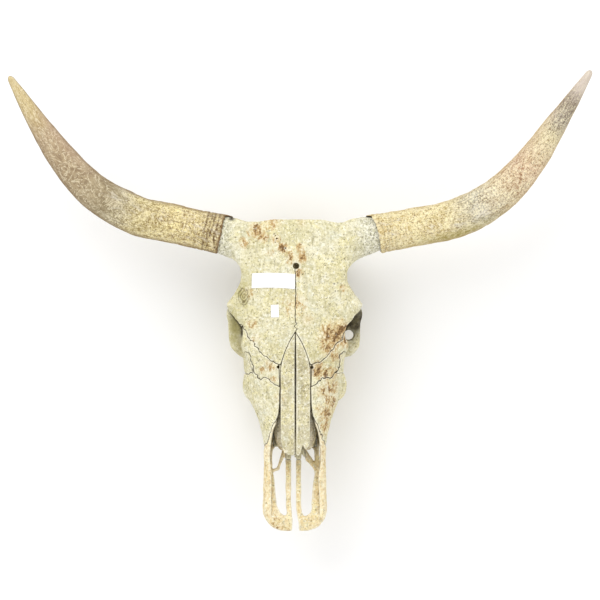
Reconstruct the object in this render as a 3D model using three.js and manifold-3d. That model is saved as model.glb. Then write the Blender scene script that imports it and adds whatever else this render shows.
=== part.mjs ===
// Skull of a longhorn steer, life size, in millimetres.
//
// The skull lies on its last upper molars and on the tips of its two paracondylar
// processes, with the forehead level and uppermost.  In the skull's own frame x runs
// across (right is +x, seen from above with the muzzle nearest), y runs from the muzzle
// tip (0) towards the poll, and z is the height above the floor.
//
// The bones are described by one signed field, negative inside bone, built from named
// profiles and simple round bodies.  Each bone is that field meshed on its own grid and
// parted from its neighbours by thin cuts along its sutures.

import * as THREE from 'three';
import { mergeVertices } from 'three/addons/utils/BufferGeometryUtils.js';
import Module from 'manifold-3d';

const wasm = await Module();
wasm.setup();

// ---------------------------------------------------------------- driving dimensions

const FOREHEAD = 190; // height of the level forehead
const SKULL_LENGTH = 517; // muzzle tip to poll
const GAP = 0.3; // clear width of a suture between two bones
const SURFACE_LOSS = 0.86; // how far a thinned surface may leave the field
const CUT_LOSS = 0.004; // the same where slivers along a cut are joined
const HALF_GAP = GAP / 2;

const PALATE_FRONT = 128; // underside of the palate at the muzzle tip
const PALATE_SLOPE = 0.3; // its fall per millimetre towards the throat
const PALATE_THICKNESS = 8;
const CAVITY_END = 210; // how far back the open nasal cavity goes
const MOLAR_HEEL = 331; // where the last molar's worn face turns level with the floor
const WEAR_SLOPE = 0.296; // rise of the worn faces towards the muzzle
const FACE_POWER = 2.3; // roundness of the face's cross-section

const ORBIT_CENTRE = [110, 333, 140];
const ORBIT_APEX = [58, 352, 136];
const ORBIT_RADIUS = 29.5;
const NASAL_HALF = 25.5; // from the midline to the nasal bones' outer edge
const NASAL_FRONT = 122; // where the nasal bones' tips begin

const HORN_RADIUS = 31.5;
const HORN_FLATNESS = 0.93; // the horn's depth over its width
const SHEATH_HOLLOW = 42; // how far the core reaches into the sheath
const SHEATH_FIT = 0.5; // clear space between core and sheath
const CORE_START = 106.3; // where the core leaves the forehead, either side

const FOREHEAD_HOLE = { x: 1, y: 441, radius: 6, depth: 12 };
const LABEL_THICKNESS = 0.8;
const LABEL_LIFT = 0.35;

const ROD_INSIDE = 4.1; // from the middle of the palate's median space to a rod
const ROD_OUTSIDE = 12.6; // from there to the rod's outer edge
const ROD_JOINT = 118; // where the rods pass from premaxilla to maxilla
const ROD_END = 127; // where they join the palate's plate
const SLOT_START = 22.5; // the palate's two slots, from front to back
const SLOT_END = 139;
const ORBIT_HOLE = { x: 89, y: 326, radius: 8.4, bottom: 40, top: 160 }; // right side only
const FONTANELLE = { x: 28.6, y: 273, radius: 3, bottom: 164 };

// Sizes of the cells on which the field is meshed, before thinning.
const COARSE_CELL = 8;
const MIDDLE_CELL = 7;
const NASAL_CELL = 6;
const FINE_CELL = 5;

// The row's origin: midway between the horn tips, midway along, on the floor.
const ORIGIN = [7.74, 383.4, 0];

// ---------------------------------------------------------------- profiles along y

// A smooth curve through [place, value] stations, level beyond the first and last.
function profile(stations) {
  const last = stations.length - 1;
  const slope = (i) => {
    const before = stations[Math.max(i - 1, 0)];
    const after = stations[Math.min(i + 1, last)];
    return (after[1] - before[1]) / (after[0] - before[0]);
  };
  return (place) => {
    if (place <= stations[0][0]) return stations[0][1];
    if (place >= stations[last][0]) return stations[last][1];
    let i = 0;
    while (place > stations[i + 1][0]) i += 1;
    const span = stations[i + 1][0] - stations[i][0];
    const t = (place - stations[i][0]) / span;
    const rise = stations[i + 1][1] - stations[i][1];
    const ease = t * t * (3 - 2 * t);
    const lead = t * (1 - t) * (1 - t) * span * slope(i);
    const trail = t * t * (1 - t) * span * slope(i + 1);
    return stations[i][1] + rise * ease + lead - trail;
  };
}

const crown = profile([[0, 150], [125, 160], [200, 173], [280, 182], [325, 185], [380, 189],
  [440, FOREHEAD], [500, 188], [517, 184]]);
const faceHalf = profile([[0, 24], [8, 40], [27, 52], [60, 52.5], [145, 52], [175, 58],
  [195, 64], [213, 72], [240, 79], [265, 82], [290, 83.5], [320, 73], [350, 58]]);
// How far the face leans to the left.
const faceLean = profile([[0, 0.2], [30, 1], [180, 1], [215, 2.4], [280, 2.4], [320, 1.8]]);
const cheekLevel = profile([[0, 121], [60, 117], [145, 118], [200, 105], [240, 96],
  [300, 110], [350, 110]]);
const jawHalf = profile([[0, 22], [60, 45], [120, 37], [160, 40], [200, 55], [260, 66],
  [320, 69], [350, 56]]);
const premaxillaTop = profile([[0, 125], [25, 131], [60, 134], [100, 139], [140, 145],
  [158, 151], [172, 162], [184, 205]]);
const innerWall = profile([[22, 19], [31, 27], [40, 31.5], [60, 34.5], [85, 36.5],
  [119, 42], [165, 37], [185, 30.5], [210, 26.5], [228, 25.3]]);
const roofHalf = profile([[280, 66], [299, 86], [312, 89], [334, 86], [343, 90], [352, 96.5],
  [362, 103.5], [371, 109.5], [376, 113], [384, 108], [392, 101.5], [404, 94], [414, 89.5],
  [430, 87.5], [440, 91], [450, 96], [470, 99], [517, 97]]);
const roofDroop = profile([[280, 30], [310, 19], [345, 13], [375, 12], [430, 7], [517, 6]]);
const nuchalHalf = profile([[40, 46], [52, 66], [66, 86], [84, 103], [98, 104], [112, 91],
  [128, 79], [146, 82], [172, 92]]);
const nuchalRear = profile([[40, 470], [70, 477], [110, 488], [150, 501], [178, 512]]);

const marginLevel = (y) => PALATE_FRONT - PALATE_SLOPE * y - (y < 25 ? 12 - y * 0.2 : 8);
const palateLevel = (y) => PALATE_FRONT - PALATE_SLOPE * y;
const wearLevel = (y) => Math.max(0, (MOLAR_HEEL - y) * WEAR_SLOPE);

// ---------------------------------------------------------------- the bone field

function smoothMin(a, b, k) {
  const h = Math.max(k - Math.abs(a - b), 0) / k;
  return Math.min(a, b) - h * h * k * 0.25;
}

const smoothMax = (a, b, k) => -smoothMin(-a, -b, k);
const clamp = (value, low, high) => Math.min(Math.max(value, low), high);

function ease(value, low, high) {
  const t = clamp((value - low) / (high - low), 0, 1);
  return t * t * (3 - 2 * t);
}

function ellipsoid(x, y, z, centre, radii) {
  const p = [(x - centre[0]) / radii[0], (y - centre[1]) / radii[1], (z - centre[2]) / radii[2]];
  const size = Math.hypot(p[0], p[1], p[2]);
  const steep = Math.hypot(p[0] / radii[0], p[1] / radii[1], p[2] / radii[2]);
  return steep < 1e-9 ? -Math.min(...radii) : size * (size - 1) / steep;
}

// A round bar from a to b, of radius ra at a and rb at b.
function bar(x, y, z, a, b, ra, rb) {
  const along = [b[0] - a[0], b[1] - a[1], b[2] - a[2]];
  const from = [x - a[0], y - a[1], z - a[2]];
  const length2 = along[0] ** 2 + along[1] ** 2 + along[2] ** 2;
  const reach = (from[0] * along[0] + from[1] * along[1] + from[2] * along[2]) / length2;
  const t = clamp(reach, 0, 1);
  const off = Math.hypot(from[0] - along[0] * t, from[1] - along[1] * t, from[2] - along[2] * t);
  return off - (ra + (rb - ra) * t);
}

function block(x, y, z, centre, half, round) {
  const q = [Math.abs(x - centre[0]) - half[0] + round, Math.abs(y - centre[1]) - half[1] + round,
    Math.abs(z - centre[2]) - half[2] + round];
  const outside = Math.hypot(Math.max(q[0], 0), Math.max(q[1], 0), Math.max(q[2], 0));
  return outside + Math.min(Math.max(q[0], q[1], q[2]), 0) - round;
}

// How far the brows, orbits and cheek arches lean to the left.
const browLean = (y) => 1.8 * ease(y, 290, 330) * ease(470 - y, 0, 40);

// The long body of the face, from the muzzle to behind the last molars.
function faceBody(x, y, z) {
  const side = Math.abs(x + faceLean(y) * ease(z, 60, 100));
  const half = faceHalf(y);
  const level = cheekLevel(y);
  let wall;
  if (z > level) {
    const rise = (z - level) / (crown(y) - level);
    const reach = (side / half) ** FACE_POWER + rise ** FACE_POWER;
    wall = (reach ** (1 / FACE_POWER) - 1) * half;
  } else {
    const drop = ease(level - z, 0, level - marginLevel(y));
    wall = side - (half + (jawHalf(y) - half) * drop);
  }
  const vault = ease(side, jawHalf(y) - 26, jawHalf(y) - 14);
  const under = palateLevel(y) + (marginLevel(y) - palateLevel(y)) * vault;
  const body = smoothMax(wall, under - z, 6);
  return smoothMax(smoothMax(body, -y, 4), y - 350, 20);
}

// The flat roof of the forehead, with the brow over each orbit.
function roof(x, y, z) {
  const side = Math.abs(x + browLean(y));
  const half = roofHalf(y);
  const top = crown(y) - roofDroop(y) * Math.min(side / half, 1.2) ** 2.5;
  const pollEdge = SKULL_LENGTH - 6 * ease(side, 36, 66) - 3 * ease(x, 50, 80);
  let plate = smoothMax(side - half, z - top, 9);
  plate = smoothMax(plate, top - 15 - z, 6);
  plate = smoothMax(plate, 282 - y, 10);
  return smoothMax(plate, y - pollEdge, 10);
}

// The upright wall at the back of the skull, with the mastoid on each side.
function nuchalWall(x, y, z) {
  const side = Math.abs(x);
  const rear = nuchalRear(z);
  let wall = smoothMax(side - nuchalHalf(z), y - rear, 9);
  wall = smoothMax(wall, rear - 30 + 7 * ease(side, 76, 98) - y, 9);
  wall = smoothMax(wall, z - 176, 8);
  return smoothMax(wall, 42 - z, 8);
}

function cheekArch(side, y, z) {
  const body = ellipsoid(side, y, z, [87, 328, 98], [21, 38, 19]);
  const rim = bar(side, y, z, [98, 310, 108], [102, 358, 113], 8.5, 9);
  const temporal = bar(side, y, z, [102, 358, 113], [86.5, 398, 104], 9, 7);
  const waist = bar(side, y, z, [86.5, 398, 104], [77, 424, 101], 7, 9);
  const root = bar(side, y, z, [77, 424, 101], [80, 450, 98], 9, 11.5);
  const post = bar(side, y, z, [100, 371, 161], [102, 366, 114], 8, 8.5);
  let arch = smoothMin(body, rim, 10);
  arch = smoothMin(arch, temporal, 7);
  arch = smoothMin(arch, waist, 6);
  arch = smoothMin(arch, root, 6);
  return smoothMin(arch, post, 8);
}

function throatBones(side, y, z) {
  const condyle = ellipsoid(side, y, z, [27, 478, 52], [19, 20, 27]);
  const base = ellipsoid(side, y, z, [0, 425, 54], [25, 62, 17]);
  const sphenoid = ellipsoid(side, y, z, [0, 372, 82], [24, 48, 24]);
  const bulla = ellipsoid(side, y, z, [44, 430, 48], [13, 21, 20]);
  const paracondylar = bar(side, y, z, [64, 466, 84], [60, 463, -7], 17, 7);
  const pterygoid = block(side, y, z, [23, 345, 66], [3.2, 52, 28], 3);
  let bones = smoothMin(condyle, base, 10);
  bones = smoothMin(bones, sphenoid, 10);
  bones = smoothMin(bones, bulla, 6);
  bones = smoothMin(bones, paracondylar, 8);
  return smoothMin(bones, pterygoid, 4);
}

function orbit(side, y, z) {
  return bar(side, y, z, ORBIT_CENTRE, ORBIT_APEX, ORBIT_RADIUS, 20);
}

// The open front of the nasal cavity, and its hidden part as far as CAVITY_END.
function nasalCavity(x, y, z, face) {
  const inside = Math.max(Math.abs(x) - innerWall(y), palateLevel(y) + PALATE_THICKNESS - z);
  const open = smoothMax(inside, y - 228, 4);
  const hidden = Math.max(Math.abs(x) - 40, palateLevel(y) + PALATE_THICKNESS - z, face + 8);
  const whole = Math.max(Math.min(open, hidden), y - CAVITY_END);
  return smoothMax(whole, 21 - y, 5);
}

// The two slots through the palate and the space between its rods.  A ledge narrows the
// slots, more on the right.
function palateSlots(x, y) {
  const off = Math.abs(x + 3.2 * ease(y, 10, 48));
  const ledge = x > 0 ? 5 * ease(y, 28, 50) + 4 * ease(y, 92, 106) : 2 * ease(y, 100, 112);
  const across = smoothMax(ROD_OUTSIDE - off, Math.abs(x) - innerWall(y) + 1 + ledge, 6);
  const slot = smoothMax(across, smoothMax(SLOT_START - y, y - SLOT_END, 6), 9);
  const inside = ROD_INSIDE + 1.7 * ease(30 - y, 0, 20);
  const median = Math.max(off - inside, y - ROD_JOINT + 1);
  return smoothMin(slot, median, 1);
}

// Thin bridges of bone from the palate's rods to the side walls: x and y of both ends,
// and the radius at each.
const BRIDGES = [
  [-43, 98, -29, 103, 3, 3],
  [-29, 103, -19, 132, 3, 3.6],
  [-12, 112, -16, 136, 3.4, 4.6],
  [13, 134, 22, 119, 4.8, 4.6],
  [22, 119, 33, 106, 4.6, 4],
  [33, 106, 44, 98, 4, 5],
];

function palateBridges(x, y, z) {
  const at = (px, py) => [px, py, palateLevel(py) + PALATE_THICKNESS / 2];
  return Math.min(...BRIDGES.map(([ax, ay, bx, by, ra, rb]) => (
    bar(x, y, z, at(ax, ay), at(bx, by), ra, rb)
  )));
}

// Where a bony core leaves the forehead, so that the two meet flush.
function coreRoot(x, y, z) {
  const depth = 150.5 + (z - 150.5) / HORN_FLATNESS;
  return x > 0
    ? bar(x, y, depth, [104, 489, 150], [171, 501, 150], 29.2, 26)
    : bar(x, y, depth, [-104, 489, 150], [-157, 500, 150], 29.2, 26);
}

function boneField(x, y, z) {
  const side = Math.abs(x);
  const face = faceBody(x, y, z);
  let bone = smoothMax(face, z - premaxillaTop(y), 3);
  if (y < 235) {
    bone = smoothMax(bone, -nasalCavity(x, y, z, face), 3);
    bone = smoothMax(bone, -palateSlots(x, y), 2);
    if (y < 140) bone = smoothMin(bone, palateBridges(x, y, z), 3);
    const nasals = Math.max(face, side - NASAL_HALF, crown(y) - 12 - z, NASAL_FRONT - y);
    bone = Math.min(bone, nasals);
  }
  const tuber = ellipsoid(side, y, z, [76 - Math.sign(x), 240, 98], [10, 18, 11]);
  if (y < 235) return smoothMin(bone, tuber, 12);
  const midface = ellipsoid(side, y, z, [0, 345, 140], [49, 75, 48]);
  const braincase = ellipsoid(side, y, z, [0, 428, 114], [61, 82, 72]);
  const hornRoot = bar(side, y, z, [62, 484, 152], [112, 490, 150], 22, 28.5);
  const rootFlare = bar(side, y, z, [84, 456, 160], [104, 470, 154], 14, 14);
  bone = smoothMin(bone, tuber, 12);
  bone = smoothMin(bone, roof(x, y, z), 16);
  bone = smoothMin(bone, midface, 12);
  bone = smoothMin(bone, braincase, 12);
  bone = smoothMin(bone, nuchalWall(x, y, z), 14);
  bone = smoothMin(bone, hornRoot, 14);
  bone = smoothMin(bone, rootFlare, 12);
  if (side > 80) bone = smoothMin(bone, coreRoot(x, y, z), 12);
  const leaned = Math.abs(x + browLean(y));
  bone = smoothMin(bone, cheekArch(leaned, y, z), 7);
  bone = smoothMax(bone, -orbit(leaned, y, z), 5);
  bone = smoothMin(bone, throatBones(side, y, z), 7);
  const choana = block(x, y, z, [0, 366, 48], [19, 62, 28], 12);
  bone = smoothMax(bone, -choana, 4);
  const foramen = bar(side, y, z, [0, 520, 74], [0, 458, 80], 18, 17);
  return smoothMax(bone, -foramen, 4);
}

// ---------------------------------------------------------------- solids

function toSolid(geometry) {
  const bare = geometry.clone();
  bare.deleteAttribute('normal');
  bare.deleteAttribute('uv');
  const merged = mergeVertices(bare, 1e-4);
  return new wasm.Manifold(new wasm.Mesh({
    numProp: 3,
    vertProperties: new Float32Array(merged.attributes.position.array),
    triVerts: new Uint32Array(merged.index.array),
  }));
}

function toGeometry(solid) {
  const mesh = solid.getMesh();
  const geometry = new THREE.BufferGeometry();
  geometry.setAttribute('position', new THREE.BufferAttribute(mesh.vertProperties, 3));
  geometry.setIndex(new THREE.BufferAttribute(mesh.triVerts, 1));
  geometry.computeVertexNormals();
  return geometry;
}

// The surface where a field is zero, inside a box, as one vertex for each grid cell that
// the surface crosses and one quad for each grid edge that it crosses.
function fieldSolid(field, low, high, cell) {
  const count = low.map((start, axis) => Math.ceil((high[axis] - start) / cell) + 1);
  const place = (axis, i) => low[axis] + i * cell;
  const index = (i, j, k) => (k * count[1] + j) * count[0] + i;
  const values = new Float64Array(count[0] * count[1] * count[2]);
  for (let k = 0; k < count[2]; k += 1) {
    for (let j = 0; j < count[1]; j += 1) {
      for (let i = 0; i < count[0]; i += 1) {
        const value = field(place(0, i), place(1, j), place(2, k));
        const border = i === 0 || j === 0 || k === 0
          || i === count[0] - 1 || j === count[1] - 1 || k === count[2] - 1;
        values[index(i, j, k)] = border ? Math.max(value, 1) : value;
      }
    }
  }
  const positions = [];
  const vertexOf = new Int32Array(values.length).fill(-1);
  for (let k = 0; k < count[2] - 1; k += 1) {
    for (let j = 0; j < count[1] - 1; j += 1) {
      for (let i = 0; i < count[0] - 1; i += 1) {
        const sum = [0, 0, 0];
        let crossings = 0;
        for (let axis = 0; axis < 3; axis += 1) {
          for (let pair = 0; pair < 4; pair += 1) {
            const corner = [0, 0, 0];
            corner[(axis + 1) % 3] = pair & 1;
            corner[(axis + 2) % 3] = pair >> 1;
            const far = [...corner];
            far[axis] = 1;
            const a = values[index(i + corner[0], j + corner[1], k + corner[2])];
            const b = values[index(i + far[0], j + far[1], k + far[2])];
            if (a < 0 !== b < 0) {
              corner[axis] = a / (a - b);
              for (let n = 0; n < 3; n += 1) sum[n] += corner[n];
              crossings += 1;
            }
          }
        }
        if (crossings > 0) {
          vertexOf[index(i, j, k)] = positions.length / 3;
          positions.push(place(0, i + sum[0] / crossings), place(1, j + sum[1] / crossings),
            place(2, k + sum[2] / crossings));
        }
      }
    }
  }
  const triangles = [];
  const apart = (a, b) => (n) => positions[3 * a + n] - positions[3 * b + n];
  const distance = (a, b) => Math.hypot(...[0, 1, 2].map(apart(a, b)));
  for (let axis = 0; axis < 3; axis += 1) {
    const u = (axis + 1) % 3;
    const v = (axis + 2) % 3;
    const step = [0, 0, 0];
    step[axis] = 1;
    for (let k = 0; k < count[2] - step[2]; k += 1) {
      for (let j = 0; j < count[1] - step[1]; j += 1) {
        for (let i = 0; i < count[0] - step[0]; i += 1) {
          const here = [i, j, k];
          const a = values[index(i, j, k)];
          const b = values[index(i + step[0], j + step[1], k + step[2])];
          if (a < 0 !== b < 0 && here[u] > 0 && here[v] > 0) {
            const corners = [[0, 0], [1, 0], [1, 1], [0, 1]].map(([du, dv]) => {
              const at = [...here];
              at[u] -= du;
              at[v] -= dv;
              return vertexOf[index(at[0], at[1], at[2])];
            });
            if (a >= 0) corners.reverse();
            const [p, q, r, s] = corners;
            if (distance(p, r) <= distance(q, s)) triangles.push(p, q, r, p, r, s);
            else triangles.push(p, q, s, q, r, s);
          }
        }
      }
    }
  }
  return new wasm.Manifold(new wasm.Mesh({
    numProp: 3,
    vertProperties: new Float32Array(positions),
    triVerts: new Uint32Array(triangles),
  }));
}

// ---------------------------------------------------------------- thinning of a mesh

// A quadric is the ten numbers of a sum of weighted squared distances to planes.
function addPlane(quadric, normal, offset, weight) {
  const row = [normal.x, normal.y, normal.z, offset];
  let n = 0;
  for (let i = 0; i < 4; i += 1) {
    for (let j = i; j < 4; j += 1) {
      quadric[n] += weight * row[i] * row[j];
      n += 1;
    }
  }
}

function quadricAt(q, p) {
  return q[0] * p.x * p.x + q[4] * p.y * p.y + q[7] * p.z * p.z + q[9]
    + 2 * (q[1] * p.x * p.y + q[2] * p.x * p.z + q[5] * p.y * p.z)
    + 2 * (q[3] * p.x + q[6] * p.y + q[8] * p.z);
}

// Where an edge's two ends are best joined: the quadric's lowest point, or else the
// better of the ends and the middle.
function bestJoint(q, a, b) {
  const middle = a.clone().add(b).multiplyScalar(0.5);
  const matrix = new THREE.Matrix3().set(q[0], q[1], q[2], q[1], q[4], q[5], q[2], q[5], q[7]);
  const scale = (q[0] + q[4] + q[7]) / 3;
  const choices = [middle, a, b];
  if (Math.abs(matrix.determinant()) > 0.01 * scale ** 3) {
    const lowest = new THREE.Vector3(-q[3], -q[6], -q[8]).applyMatrix3(matrix.invert());
    if (lowest.distanceTo(middle) < 1.5 * a.distanceTo(b)) choices.unshift(lowest);
  }
  const better = (best, point) => (quadricAt(q, point) < quadricAt(q, best) - 1e-9 ? point : best);
  return choices.reduce(better);
}

function faceNormal(points, face) {
  const [a, b, c] = face.map((i) => points[i]);
  return new THREE.Vector3().crossVectors(b.clone().sub(a), c.clone().sub(a));
}

// One round of joining edges whose loss is under the limit, no two of them neighbours.
function thinningRound(points, faces, quadrics, weights, limit) {
  const facesOf = points.map(() => []);
  faces.forEach((face, f) => face.forEach((i) => facesOf[i].push(f)));
  const neighbours = (i) => new Set(facesOf[i].flatMap((f) => faces[f]).filter((j) => j !== i));
  const edges = [];
  faces.forEach((face) => face.forEach((a, k) => {
    const b = face[(k + 1) % 3];
    if (a < b) {
      const q = quadrics[a].map((value, n) => value + quadrics[b][n]);
      const joint = bestJoint(q, points[a], points[b]);
      const loss = Math.sqrt(Math.max(quadricAt(q, joint), 0) / (weights[a] + weights[b]));
      if (loss < limit) edges.push({ a, b, q, joint, loss });
    }
  }));
  const span = (edge) => points[edge.a].distanceTo(points[edge.b]);
  edges.sort((e, f) => e.loss - f.loss || span(e) - span(f));
  const busy = new Uint8Array(points.length);
  const gone = new Set();
  edges.forEach(({ a, b, q, joint }) => {
    const around = neighbours(a);
    const shared = [...neighbours(b)].filter((j) => around.has(j));
    const ring = [...new Set([...around, ...neighbours(b)])];
    if (shared.length !== 2 || ring.some((j) => busy[j])) return;
    const joins = (f) => faces[f].includes(a) && faces[f].includes(b);
    const moved = [...facesOf[a], ...facesOf[b]].filter((f) => !joins(f));
    const turned = moved.some((f) => {
      const before = faceNormal(points, faces[f]);
      const corners = faces[f].map((j) => (j === a || j === b ? joint : points[j]));
      const after = new THREE.Vector3().crossVectors(
        corners[1].clone().sub(corners[0]),
        corners[2].clone().sub(corners[0]),
      );
      const longest = Math.max(...corners.map((c, k) => c.distanceToSquared(corners[(k + 1) % 3])));
      const thin = after.length() < 0.03 * longest && after.length() < before.length();
      return thin || after.dot(before) < 0.25 * after.length() * before.length();
    });
    if (turned) return;
    ring.forEach((j) => { busy[j] = 1; });
    facesOf[a].filter((f) => faces[f].includes(b)).forEach((f) => gone.add(f));
    facesOf[b].forEach((f) => { faces[f] = faces[f].map((j) => (j === b ? a : j)); });
    points[a] = joint.clone();
    quadrics[a] = q;
    weights[a] += weights[b];
  });
  return faces.filter((face, f) => !gone.has(f));
}

// The same solid with fewer triangles, within about `limit` millimetres.
function thinned(solid, limit, rounds = 40) {
  const mesh = solid.getMesh();
  const points = [];
  for (let i = 0; i < mesh.vertProperties.length; i += 3) {
    points.push(new THREE.Vector3().fromArray(mesh.vertProperties, i));
  }
  let faces = [];
  for (let i = 0; i < mesh.triVerts.length; i += 3) {
    faces.push([...mesh.triVerts.subarray(i, i + 3)]);
  }
  const quadrics = points.map(() => new Array(10).fill(0));
  const weights = new Float64Array(points.length);
  faces.forEach((face) => {
    const normal = faceNormal(points, face);
    const area = normal.length() / 2;
    normal.normalize();
    const offset = -normal.dot(points[face[0]]);
    face.forEach((i) => {
      addPlane(quadrics[i], normal, offset, area);
      weights[i] += area;
    });
  });
  for (let round = 0; round < rounds; round += 1) {
    const before = faces.length;
    faces = thinningRound(points, faces, quadrics, weights, limit);
    if (faces.length > before * 0.995) break;
  }
  const used = [...new Set(faces.flat())];
  const renumber = new Map(used.map((i, n) => [i, n]));
  return new wasm.Manifold(new wasm.Mesh({
    numProp: 3,
    vertProperties: new Float32Array(used.flatMap((i) => points[i].toArray())),
    triVerts: new Uint32Array(faces.flat().map((i) => renumber.get(i))),
  }));
}

// An upright prism over a plan outline; its floor may slope along y.
function prism(outline, bottom, top, slopedFloor = null) {
  const shape = new THREE.Shape(outline.map(([x, y]) => new THREE.Vector2(x, y)));
  const geometry = new THREE.ExtrudeGeometry(shape, { depth: top - bottom, bevelEnabled: false });
  geometry.translate(0, 0, bottom);
  if (slopedFloor) {
    const position = geometry.attributes.position;
    for (let i = 0; i < position.count; i += 1) {
      if (position.getZ(i) < bottom + 1) position.setZ(i, slopedFloor(position.getY(i)));
    }
  }
  return toSolid(geometry);
}

// A slab of the given thickness, centred on x = 0, over an outline in y and z.
function slab(outline, thickness) {
  const shape = new THREE.Shape(outline.map(([y, z]) => new THREE.Vector2(y, z)));
  const geometry = new THREE.ExtrudeGeometry(shape, { depth: thickness, bevelEnabled: false });
  geometry.applyMatrix4(new THREE.Matrix4().makeBasis(
    new THREE.Vector3(0, 1, 0),
    new THREE.Vector3(0, 0, 1),
    new THREE.Vector3(1, 0, 0),
  ));
  return toSolid(geometry.translate(-thickness / 2, 0, 0));
}

const mirrored = (outline) => outline.map(([x, y]) => [-x, y]).reverse();
const onSide = (outline, sign) => (sign > 0 ? outline : mirrored(outline));

// The same outline moved outwards by a distance, corner by corner.
function grown(outline, distance) {
  const area = THREE.ShapeUtils.area(outline.map(([x, y]) => new THREE.Vector2(x, y)));
  const turn = Math.sign(area);
  return outline.map((point, i) => {
    const before = outline[(i + outline.length - 1) % outline.length];
    const after = outline[(i + 1) % outline.length];
    const normal = (a, b) => {
      const length = Math.hypot(b[0] - a[0], b[1] - a[1]);
      return [turn * (b[1] - a[1]) / length, -turn * (b[0] - a[0]) / length];
    };
    const m = normal(before, point);
    const n = normal(point, after);
    const scale = distance / Math.max(1 + m[0] * n[0] + m[1] * n[1], 0.4);
    return [point[0] + (m[0] + n[0]) * scale, point[1] + (m[1] + n[1]) * scale];
  });
}

// A closed skin over rings with equal numbers of points, capped at both ends.
function loft(rings) {
  const size = rings[0].length;
  const positions = [];
  const triangles = [];
  rings.forEach((ring) => ring.forEach((point) => positions.push(point.x, point.y, point.z)));
  for (let i = 0; i < rings.length - 1; i += 1) {
    for (let j = 0; j < size; j += 1) {
      const a = i * size + j;
      const b = i * size + ((j + 1) % size);
      triangles.push(a, b, b + size, a, b + size, a + size);
    }
  }
  [0, rings.length - 1].forEach((end) => {
    const middle = new THREE.Vector3();
    rings[end].forEach((point) => middle.addScaledVector(point, 1 / size));
    const hub = positions.length / 3;
    positions.push(middle.x, middle.y, middle.z);
    for (let j = 0; j < size; j += 1) {
      const a = end * size + j;
      const b = end * size + ((j + 1) % size);
      if (end === 0) triangles.push(hub, b, a);
      else triangles.push(hub, a, b);
    }
  });
  const geometry = new THREE.BufferGeometry();
  geometry.setAttribute('position', new THREE.Float32BufferAttribute(positions, 3));
  geometry.setIndex(triangles);
  return toSolid(geometry);
}

// ---------------------------------------------------------------- sutures, in plan

// The right nasal bone's tip is cleft; the left one's is worn to a single slope.
const NASAL = [[0.6, 331], [10, 315], [17, 299.5], [22.5, 283], [25, 268], [25, 150]];
const NASAL_TIPS = {
  right: [[22.5, 138], [18, 136.5], [13, 141], [9, 129], [4.5, 124.5], [1, 128]],
  left: [[22.5, 139], [18, 130], [12, 126], [6, 125], [1, 127]],
};
const nasalOutline = (sign) => (sign > 0
  ? [...NASAL, ...NASAL_TIPS.right]
  : mirrored([...NASAL, ...NASAL_TIPS.left]));
const FRONTAL_LACRIMAL = [[27.5, 278.3], [41, 283], [50, 290], [58, 297], [63, 305],
  [75, 318], [84, 335], [88, 342]];
const LACRIMAL = [...FRONTAL_LACRIMAL, [94, 342], [94, 299], [78, 297], [73.5, 289], [71, 270],
  [66.6, 262.4], [58.8, 252.7], [51, 255], [45.5, 253.6], [36.5, 245.8], [26, 240]];
const ZYGOMATIC = [[67, 262.5], [120, 264], [120, 404], [86, 404], [86, 394.7], [74, 394.7],
  [82, 372], [79, 350], [79, 298], [73.5, 289], [71, 270]];
const FRONTAL_HALF = [[25.3, 276.5], ...FRONTAL_LACRIMAL.slice(1), [120, 342], [120, 440],
  [106, 446], [106, 535]];
const FRONTAL = [[0, 331.7], ...FRONTAL_HALF, ...mirrored(FRONTAL_HALF)];
const PREMAXILLA = [[0, -5], [62, -5], [62, 118], [54, 135], [47.5, 150], [40, 168],
  [36, 168], [36, 139], [16, 139], [16, 118], [0, 118]];
const MEDIAN_SPACE = [[-5.8, -9], [5.8, -9], [5.8, 10], [0.9, 48], [0.9, ROD_END],
  [-7.3, ROD_END], [-7.3, 48], [-5.8, 10]];
const MAXILLA = [[HALF_GAP, ROD_JOINT], [120, ROD_JOINT], [120, 350], [HALF_GAP, 350]];
const HORN_BASE = [[84, 449], [106, 449], [106, 531], [84, 531]];
const TEMPORAL = [[30, 395], [85.6, 395], [85.6, 404.3], [105.7, 404.3], [105.7, 500],
  [81, 500], [81, 448], [30, 448]];
const OCCIPUT = [[-80.7, 448.3], [80.7, 448.3], [80.7, 535], [-80.7, 535]];
const SKULL_BASE_HALF = [[75, 350.3], [75, 394.7], [29.7, 394.7], [29.7, 447.7]];
const SKULL_BASE = [...SKULL_BASE_HALF, ...mirrored(SKULL_BASE_HALF)];

const FRONTAL_FLOOR = 148;
const HORN_BASE_FLOOR = 113;
const LACRIMAL_FLOOR = 120;
const ZYGOMATIC_FLOOR = 66;
const PREMAXILLA_SPAN = [66, 166]; // lowest and highest bone of each box below
const MAXILLA_SPAN = [15, FOREHEAD];
const NASAL_SPAN = [140, FOREHEAD];
const THROAT_FLOOR = 20;
const OCCIPUT_FLOOR = -6;
const LABEL_FLOOR = 182;
const ABOVE = 230;
const BELOW = -20;
const nasalFloor = (y) => crown(y) - 11 + 0.02 * (y - 125);

// ---------------------------------------------------------------- bones

// The bone in a box over a plan outline, on a grid of the given cell size.
function boneIn(outline, bottom, top, cell, offset = 0) {
  const xs = outline.map((point) => point[0]);
  const ys = outline.map((point) => point[1]);
  const margin = 1.6 * cell;
  const low = [Math.min(...xs) - margin, Math.min(...ys) - margin, bottom - margin];
  const high = [Math.max(...xs) + margin, Math.max(...ys) + margin, top + margin];
  const whole = fieldSolid((x, y, z) => boneField(x, y, z) - offset, low, high, cell);
  return thinned(whole, SURFACE_LOSS);
}

// An upright round hole.
function bore(x, y, radius, bottom, top, sides) {
  const cylinder = new THREE.CylinderGeometry(radius, radius, top - bottom, sides);
  cylinder.rotateX(Math.PI / 2);
  cylinder.translate(x, y, (top + bottom) / 2);
  return toSolid(cylinder);
}

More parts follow.
